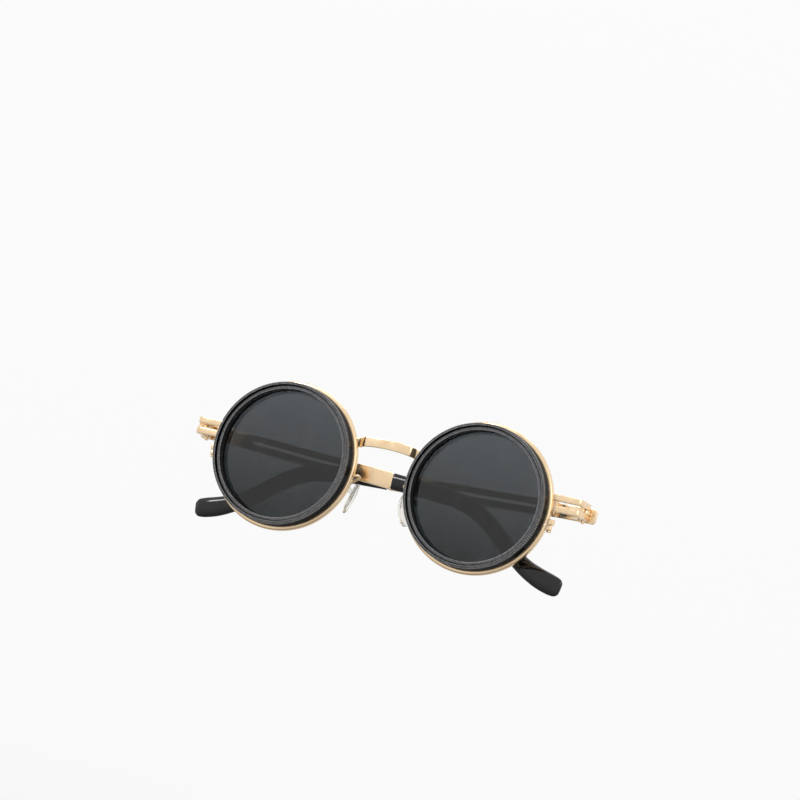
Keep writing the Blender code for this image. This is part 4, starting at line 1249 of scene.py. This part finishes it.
@dataclass
class Temple:
    """One folding arm: hinge leaf, slotted bar, two rivets and the bent tip.

    Its blanks are worked open: X out from the hinge axis, Y back and Z up.
    """

    side: Side
    fold_deg: float
    leaf_out: Point2 = (1.75, 2.75)
    leaf_half: float = 2.4
    leaf_heel: float = -3.4
    leaf_end: float = 16.2
    bar_out: Point2 = (0.55, 1.7)
    bar_start: float = 9.0
    bar_end: float = 68.4
    bar_half: float = 2.75
    slot: Point2 = (17.5, 53.0)
    slot_half: float = 0.5
    slot_taper: float = 1.2
    tang_end: float = 92.0
    tip_start: float = 68.5
    tip_half_thick: float = 1.43
    tip_round: float = 6.0
    drop: float = 0.7
    slope: float = math.tan(math.radians(2.7))
    slope_from: float = 3.0
    rivet_back: float = 10.9
    rivet_spread: float = 1.1
    rivet_r: float = 0.5
    rivet_head: Point2 = (0.85, 0.45)
    knuckle_r: float = 1.4
    knuckle_half: float = 0.64
    web_half: float = 0.55
    screw_bore_r: float = 0.65
    tip_path: tuple[Point3, ...] = (
        (0.0, 0.0, 2.75), (3.5, 0.0, 2.7), (13.5, 0.0, 2.6), (21.5, -0.2, 2.6), (26.5, -0.8, 2.6),
        (31.5, -2.4, 2.6), (36.5, -5.2, 2.6), (41.5, -8.9, 2.6), (46.5, -12.6, 2.65), (51.5, -15.5, 2.9),
        (56.5, -17.4, 3.25), (61.0, -18.5, 3.3), (63.5, -18.9, 2.9), (64.55, -19.07, 1.9),
    )

    @property
    def body(self) -> str:
        """The body that the arm moves with."""
        return self.side.word + "_temple"

    def place(self) -> Matrix:
        """Finds the arm's folded place in the frame.

        Returns:
            Matrix from the open arm to it.
        """
        turn = Matrix.Rotation(math.radians(self.side.value * self.fold_deg), 4, "Z")
        mirror = Matrix.Diagonal((self.side.value, 1.0, 1.0, 1.0))
        return front_place(self.side.value * HINGE_X, HINGE_DEPTH, HINGE_HEIGHT) @ turn @ mirror

    def lowered(self, back: float) -> float:
        """Height of the arm's middle line over the middle of the hinge."""
        return -self.drop - self.slope * max(0.0, back - self.slope_from)

    def flat(self, outline: Iterable[Point2], out: Point2, rounding: float, segments: int = 3) -> Blank:
        """Makes a plate that follows the slope of the arm.

        Args:
            outline: Corners as distance back and up from the middle line.
            out: Levels of its two faces.
            rounding: Radius of its edges.
            segments: Spans in each edge.

        Returns:
            The plate, as out, back and up.
        """
        blank = Blank().plate(list(outline), out[0], out[1], rounding, segments)
        blank.moved(STAND_UP)
        for vert in blank.bm.verts:
            vert.co.z += self.lowered(vert.co.y)
        return blank

    def leaf(self) -> Blank:
        """Makes the leaf with its knuckle.

        Returns:
            The leaf.
        """
        tall, low, heel, end = self.leaf_half, self.leaf_half - 0.2, self.leaf_heel, self.leaf_end
        upper = [(end, low - 1.0), (end - 0.3, low - 0.3), (end - 1.0, low), (self.slope_from, tall),
                 (heel + 1.0, tall), (heel + 0.3, tall - 0.3), (heel, tall - 1.0)]
        leaf = self.flat(mirrored(upper), self.leaf_out, 0.18)
        near, far, half = self.knuckle_r + 0.8, self.bar_start - 0.25, tall - 0.3
        pad = mirrored([(far, half - 0.7), (far - 0.75, half), (near, half)])
        leaf.combine(self.flat(pad, (self.leaf_out[0] - 0.6, self.leaf_out[0] + 0.3), 0.15), Join.ADD)
        leaf.combine(Blank().rod(self.knuckle_r, -self.knuckle_half, self.knuckle_half, 48, 0.12), Join.ADD)
        web, reach = self.knuckle_r - 0.4, sum(self.leaf_out) / 2.0
        joint = Blank().plate(oblong((0.0, -web), (reach, web)), -self.web_half, self.web_half)
        leaf.combine(joint, Join.ADD)
        return leaf.combine(Blank().rod(self.screw_bore_r, -2.0, 2.0), Join.CUT)

    def bar(self) -> Blank:
        """Makes the slotted bar with the tang that runs into the tip.

        Returns:
            The bar.
        """
        tall, low, start, end = self.bar_half, self.bar_half - 0.3, self.bar_start, self.bar_end
        outline = [(start + 0.9, -low), (end - 1.2, -tall), (end - 0.35, 0.35 - tall), (end, 1.15 - tall),
                   (end, tall - 1.15), (end - 0.35, tall - 0.35), (end - 1.2, tall), (start + 0.4, low),
                   (start, low - 0.35), (start + 0.4, 0.35 - low)]
        bar = self.flat(outline, self.bar_out, 0.16)
        shares = (0.2, 0.5, 0.8, 1.0)
        slot = [(self.slot[0], 0.0)]
        for share in shares:
            slot.append((self.slot[0] + self.slot_taper * share, -self.slot_half * math.sqrt(share)))
        for share in (*reversed(shares), 0.0):
            slot.append((self.slot[1] - self.slot_taper * share, -self.slot_half * math.sqrt(share)))
        slot += [(back, -up) for back, up in reversed(slot[1:-1])]
        bar.combine(self.flat(slot, (self.bar_out[0] - 1.0, self.bar_out[1] + 1.0), 0.0), Join.CUT)
        tang = [(end - 1.0, -1.2), (self.tang_end, -1.0), (self.tang_end, 1.0), (end - 1.0, 1.2)]
        return bar.combine(self.flat(tang, (self.bar_out[0] + 0.2, self.bar_out[1] - 0.2), 0.0), Join.ADD)

    def tip(self) -> Blank:
        """Sweeps the bent tip, rounded at both ends.

        Returns:
            The tip.
        """
        middle = sum(self.bar_out) / 2.0
        path = [point.to_tuple() for point in smooth_path(self.tip_path, 5)]
        frames = []
        for i, (back, up, half) in enumerate(path):
            first, last = path[max(i - 1, 0)], path[min(i + 1, len(path) - 1)]
            along = Vector((0.0, last[0] - first[0], last[1] - first[1])).normalized()
            rise = Vector((0.0, -along.z, along.y))
            axes = Matrix((Vector((1.0, 0.0, 0.0)), rise, along)).transposed().to_4x4()
            to_end = max(0.0, 1.0 - (self.tip_path[-1][0] - back) / self.tip_round)
            full = self.tip_half_thick * math.sqrt(max(0.1, 1.0 - to_end**2)) - 0.12 * max(0.0, 1.0 - back)
            spot = Vector((middle, self.tip_start + back, up + self.lowered(self.tip_start + back)))
            frames.append(Matrix.Translation(spot) @ axes @ Matrix.Diagonal((full, half, 1.0, 1.0)))
        end = frames[-1]
        for past, thinner, lower in ((0.1, 0.55, 0.6), (0.13, 0.15, 0.2)):
            shrunk = Matrix.Diagonal((thinner, lower, 1.0, 1.0))
            frames.append(end @ Matrix.Translation((0.0, 0.0, past)) @ shrunk)
        outline = []
        for a, b, wear in ring_outline(1.0, 48):
            outline.append((math.copysign(abs(a) ** 0.95, a), math.copysign(abs(b) ** 0.9, b), wear))
        return Blank().sweep(frames, outline)

    def rivet(self, spread: float) -> Blank:
        """Turns one rivet through the bar and the leaf, domed on the inner face.

        Args:
            spread: Its height over the middle line.

        Returns:
            The rivet.
        """
        top, end, radius = self.bar_out[0] - 0.03, self.leaf_out[1], self.rivet_r
        wide, high = self.rivet_head
        profile = [(0.0, end, 0.0), (radius, end, 0.0), (radius, top, 0.0), (wide, top, 0.0)]
        for step in range(6):
            angle = math.radians(15.0 * step)
            profile.append((wide * math.cos(angle), top - high * math.sin(angle), 0.4))
        profile.append((0.0, top - high, 0.4))
        blank = Blank().turn(profile, 40)
        blank.moved(STAND_UP)
        return blank.moved(Matrix.Translation((0.0, self.rivet_back, spread + self.lowered(self.rivet_back))))

    def build(self, fitter: Fitter, paint: Paint) -> None:
        """Makes and fits the pieces.

        Args:
            fitter: Fits each piece.
            paint: The finishes.
        """
        word, place = self.side.word, self.place()
        fitter.fit(self.leaf(), place, word + "_hinge_leaf", self.body, paint.gold)
        fitter.fit(self.bar(), place, word + "_temple_bar", self.body, paint.gold)
        for spread, name in ((self.rivet_spread, "_rivet_upper"), (-self.rivet_spread, "_rivet_lower")):
            fitter.fit(self.rivet(spread), place, word + name, self.body, paint.screw)
        fitter.fit(self.tip(), place, word + "_temple_tip", self.body, paint.tip)


@dataclass
class NosePad:
    """One pad with its bent wire arm and its screw."""

    side: Side
    half_gap: float = 9.25
    screw_x: float = 12.7
    screw_height: float = -5.4
    wire_r: float = 0.41
    depth: float = 9.7
    eye: Point2 = (9.3, 10.1)
    lug: Point2 = (10.15, 10.9)
    eye_r: float = 1.45
    eye_bore_r: float = 0.6
    lug_bore_r: float = 0.56
    head_r: float = 1.0
    shank_r: float = 0.5
    half: Point3 = (1.15, 2.9, 5.3)
    drop: float = 3.2
    splay_deg: float = 14.0
    turn_deg: float = 30.0
    wire_root: float = 1.7
    wire_path: tuple[Point3, ...] = (
        (1.35, 0.0, 3.8), (-0.25, 0.02, 4.0), (-1.0, 0.1, 4.1), (-1.35, 0.33, 4.1), (-1.2, 0.63, 3.9),
        (-0.45, 0.87, 3.4), (0.75, 0.97, 2.4), (1.95, 1.0, 1.3), (3.05, 1.0, 0.3),
    )
    lug_outline: tuple[Point2, ...] = (
        (-3.0, -3.4), (-1.3, -1.2), (-0.7, -1.35), (0.3, -1.4), (1.1, -0.9), (1.4, 0.0),
        (1.1, 0.9), (0.3, 1.35), (-0.7, 1.25), (-1.6, 0.4), (-3.3, -1.8),
    )

    def axis(self) -> Matrix:
        """Matrix of what is turned about the pad screw: local Z runs back."""
        spot = Matrix.Translation((self.side.value * self.screw_x, 0.0, self.screw_height))
        return spot @ RUN_BACK

    def arm(self) -> Blank:
        """Bends the wire and adds the eye at its end.

        Each point of the wire's path lies past the rim's inner edge, at a share of the way back from the
        rim to the pad, and up from the screw.

        Returns:
            The arm.
        """
        first = RIM_FRONT + self.wire_root
        points = []
        for past, share, up in self.wire_path:
            across = self.side.value * (self.half_gap + past)
            points.append((across, first + share * (self.depth - first), self.screw_height + up))
        arm = Blank().sweep(stations(smooth_path(points, 7)), ring_outline(self.wire_r, 20))
        arm.combine(Blank().rod(self.eye_r, *self.eye, 48, 0.15).moved(self.axis()), Join.ADD)
        bore = Blank().rod(self.eye_bore_r, self.eye[0] - 1.0, self.eye[1] + 1.0)
        return arm.combine(bore.moved(self.axis()), Join.CUT)

    def pad(self) -> Blank:
        """Shapes the soft pad and the lug that the screw holds.

        Returns:
            The pad.
        """
        sign = self.side.value
        pad = Blank()
        bmesh.ops.create_uvsphere(pad.bm, u_segments=64, v_segments=40, radius=1.0)
        for vert in pad.bm.verts:
            vert.co.x = math.copysign(abs(vert.co.x) ** 0.8, vert.co.x)
        splay = Matrix.Rotation(sign * math.radians(-self.splay_deg), 4, "Y")
        turn = Matrix.Rotation(sign * math.radians(-self.turn_deg), 4, "Z")
        spot = Matrix.Translation((sign * (self.half_gap + 0.35), self.depth, self.screw_height - self.drop))
        pad.moved(spot @ splay @ turn @ Matrix.Diagonal((*self.half, 1.0)))
        lug = Blank().plate([(sign * a, -b) for a, b in self.lug_outline], *self.lug, 0.15)
        pad.combine(lug.moved(self.axis()), Join.ADD)
        bore = Blank().rod(self.lug_bore_r, self.depth - 3.7, self.depth + 4.3)
        return pad.combine(bore.moved(self.axis()), Join.CUT)

    def build(self, fitter: Fitter, paint: Paint) -> None:
        """Makes and fits the pieces.

        Args:
            fitter: Fits each piece.
            paint: The finishes.
        """
        word, body, place = self.side.word, self.side.word + "_pad", front_place()
        fitter.fit(self.arm(), place, word + "_nose_pad_arm", "front", paint.gold)
        fitter.fit(self.pad(), place, word + "_nose_pad", body, paint.pad)
        front = self.eye[0]
        shank = (self.shank_r, front - 0.4, self.lug[1] - 0.05)
        screw = slotted(self.head_r, front - 0.55, front - 0.05, shank, False)
        fitter.fit(screw.moved(self.axis()), place, word + "_nose_pad_screw", body, paint.screw)


@dataclass(frozen=True)
class Softbox:
    """One large area lamp that faces the object."""

    name: str
    place: Point3
    side_m: float
    watts: float

    def light(self) -> None:
        """Sets the lamp up."""
        data = bpy.data.lights.new(self.name, "AREA")
        data.shape = "SQUARE"
        data.size = self.side_m
        data.energy = self.watts
        lamp = bpy.data.objects.new(self.name, data)
        lamp.location = self.place
        aim = Vector((0.0, 0.0, LENS_HEIGHT * MM)) - Vector(self.place)
        lamp.rotation_euler = aim.to_track_quat("-Z", "Y").to_euler()
        bpy.context.scene.collection.objects.link(lamp)


@dataclass
class Studio:
    """Pale floor, pale surroundings, soft lamps and the photograph's camera."""

    floor_half: float = 1.5
    floor_fade: Point2 = (0.25, 0.9)
    floor_drop: float = 0.0002
    floor_colour: Colour = (0.80, 0.80, 0.79, 1.0)
    floor_light: Colour = (0.82, 0.82, 0.815, 1.0)
    low: Colour = (0.38, 0.38, 0.38, 1.0)
    pale: Colour = (0.95, 0.95, 0.95, 1.0)
    high: Colour = (1.0, 1.0, 1.0, 1.0)
    dim: Colour = (0.50, 0.50, 0.50, 1.0)
    camera_place: Point3 = (0.372168, -0.958016, -0.082470)
    camera_turn: Point3 = (1.704272, -0.257232, 0.338310)
    lens_mm: float = 144.0
    lamps: tuple[Softbox, ...] = (
        Softbox("key_softbox", (-0.66, -0.89, 0.76), 0.44, 8.0),
        Softbox("fill_softbox", (0.9, -0.7, 0.45), 0.7, 2.0),
        Softbox("top_softbox", (0.0, 0.25, 1.0), 0.5, 3.0),
    )

    def floor(self) -> None:
        """Lays a pale floor that shows only from above, because the main camera stands lower than it.

        It fades into the pale surroundings, and metal and glass see those in place of it.
        """
        bm = bmesh.new()
        bmesh.ops.create_grid(bm, x_segments=1, y_segments=1, size=self.floor_half)
        mesh = bpy.data.meshes.new("floor")
        bm.to_mesh(mesh)
        bm.free()
        mesh.transform(Matrix.Translation((0.0, 0.0, -self.floor_drop)))
        bench = Bench("floor_pale")
        tint = bench.noise(40.0)
        bench.blend(bench.spread(tint, 0.0, 1.0), self.floor_colour, self.floor_light)
        bench.set(Roughness=0.9)
        nodes, links = bench.tree.nodes, bench.tree.links
        rays, side = nodes.new("ShaderNodeLightPath"), nodes.new("ShaderNodeNewGeometry")
        under = bench.sum(rays.outputs["Is Camera Ray"], side.outputs["Backfacing"], Sum.MULTIPLY)
        for way in PALE_RAYS:
            under = bench.sum(under, rays.outputs[way], Sum.MAXIMUM)
        away = nodes.new("ShaderNodeVectorMath")
        away.operation = "LENGTH"
        links.new(bench.place, away.inputs[0])
        faded = bench.spread(away.outputs["Value"], 0.0, 1.0, self.floor_fade)
        under = bench.sum(under, faded, Sum.MAXIMUM)
        mix, clear = nodes.new("ShaderNodeMixShader"), nodes.new("ShaderNodeBsdfTransparent")
        links.new(under, mix.inputs["Fac"])
        links.new(bench.shader.outputs["BSDF"], mix.inputs[1])
        links.new(clear.outputs["BSDF"], mix.inputs[2])
        links.new(mix.outputs["Shader"], nodes["Material Output"].inputs["Surface"])
        mesh.materials.append(bench.material)
        floor = bpy.data.objects.new("floor", mesh)
        bpy.context.scene.collection.objects.link(floor)

    def surroundings(self) -> None:
        """Makes the world pale to the camera, in metal and through glass, and dimmer as soft light."""
        world = bpy.data.worlds.new("surroundings")
        world.use_nodes = True
        bpy.context.scene.world = world
        nodes, links = world.node_tree.nodes, world.node_tree.links
        plain, seen = nodes["Background"], nodes.new("ShaderNodeBackground")
        plain.inputs["Color"].default_value = self.dim
        ways, split = nodes.new("ShaderNodeTexCoord"), nodes.new("ShaderNodeSeparateXYZ")
        level, shade = nodes.new("ShaderNodeMapRange"), nodes.new("ShaderNodeValToRGB")
        level.inputs["From Min"].default_value = -1.0
        shade.color_ramp.elements.new(0.5)
        ramp = ((0.1, self.low), (0.5, self.pale), (0.9, self.high))
        for stop, (spot, colour) in zip(shade.color_ramp.elements, ramp):
            stop.position = spot
            stop.color = colour
        links.new(ways.outputs["Generated"], split.inputs["Vector"])
        links.new(split.outputs["Z"], level.inputs["Value"])
        links.new(level.outputs["Result"], shade.inputs["Fac"])
        links.new(shade.outputs["Color"], seen.inputs["Color"])
        rays, mix = nodes.new("ShaderNodeLightPath"), nodes.new("ShaderNodeMixShader")
        shown = rays.outputs["Is Camera Ray"]
        for way in PALE_RAYS:
            either = nodes.new("ShaderNodeMath")
            either.operation = Sum.MAXIMUM.name
            links.new(shown, either.inputs[0])
            links.new(rays.outputs[way], either.inputs[1])
            shown = either.outputs["Value"]
        links.new(shown, mix.inputs["Fac"])
        links.new(plain.outputs["Background"], mix.inputs[1])
        links.new(seen.outputs["Background"], mix.inputs[2])
        links.new(mix.outputs["Shader"], nodes["World Output"].inputs["Surface"])

    def camera(self) -> None:
        """Sets the camera where the photograph was taken from."""
        data = bpy.data.cameras.new("photo_camera")
        data.lens = self.lens_mm
        data.sensor_width = 36.0
        data.clip_start = 0.02
        camera = bpy.data.objects.new("photo_camera", data)
        camera.location = self.camera_place
        camera.rotation_euler = Euler(self.camera_turn, "XYZ")
        bpy.context.scene.collection.objects.link(camera)
        bpy.context.scene.camera = camera

    def build(self) -> None:
        """Sets up everything round the object."""
        bpy.context.scene.view_settings.view_transform = "Standard"
        self.floor()
        self.surroundings()
        for lamp in self.lamps:
            lamp.light()
        self.camera()


def main() -> None:
    """Builds the studio and every sub-assembly in order."""
    logging.basicConfig(level=logging.INFO, format="%(message)s")
    Studio().build()
    paint, fitter = Paint.mixed(), Fitter()
    Bridge().build(fitter, paint)
    for side, fold in FOLDED_DEG.items():
        Rim(side).build(fitter, paint)
        RingFilter(side).build(fitter, paint)
        EndPiece(side).build(fitter, paint)
        Temple(side, fold).build(fitter, paint)
        NosePad(side).build(fitter, paint)
    LOG.info("%d pieces made", fitter.made)


if __name__ == "__main__":
    main()
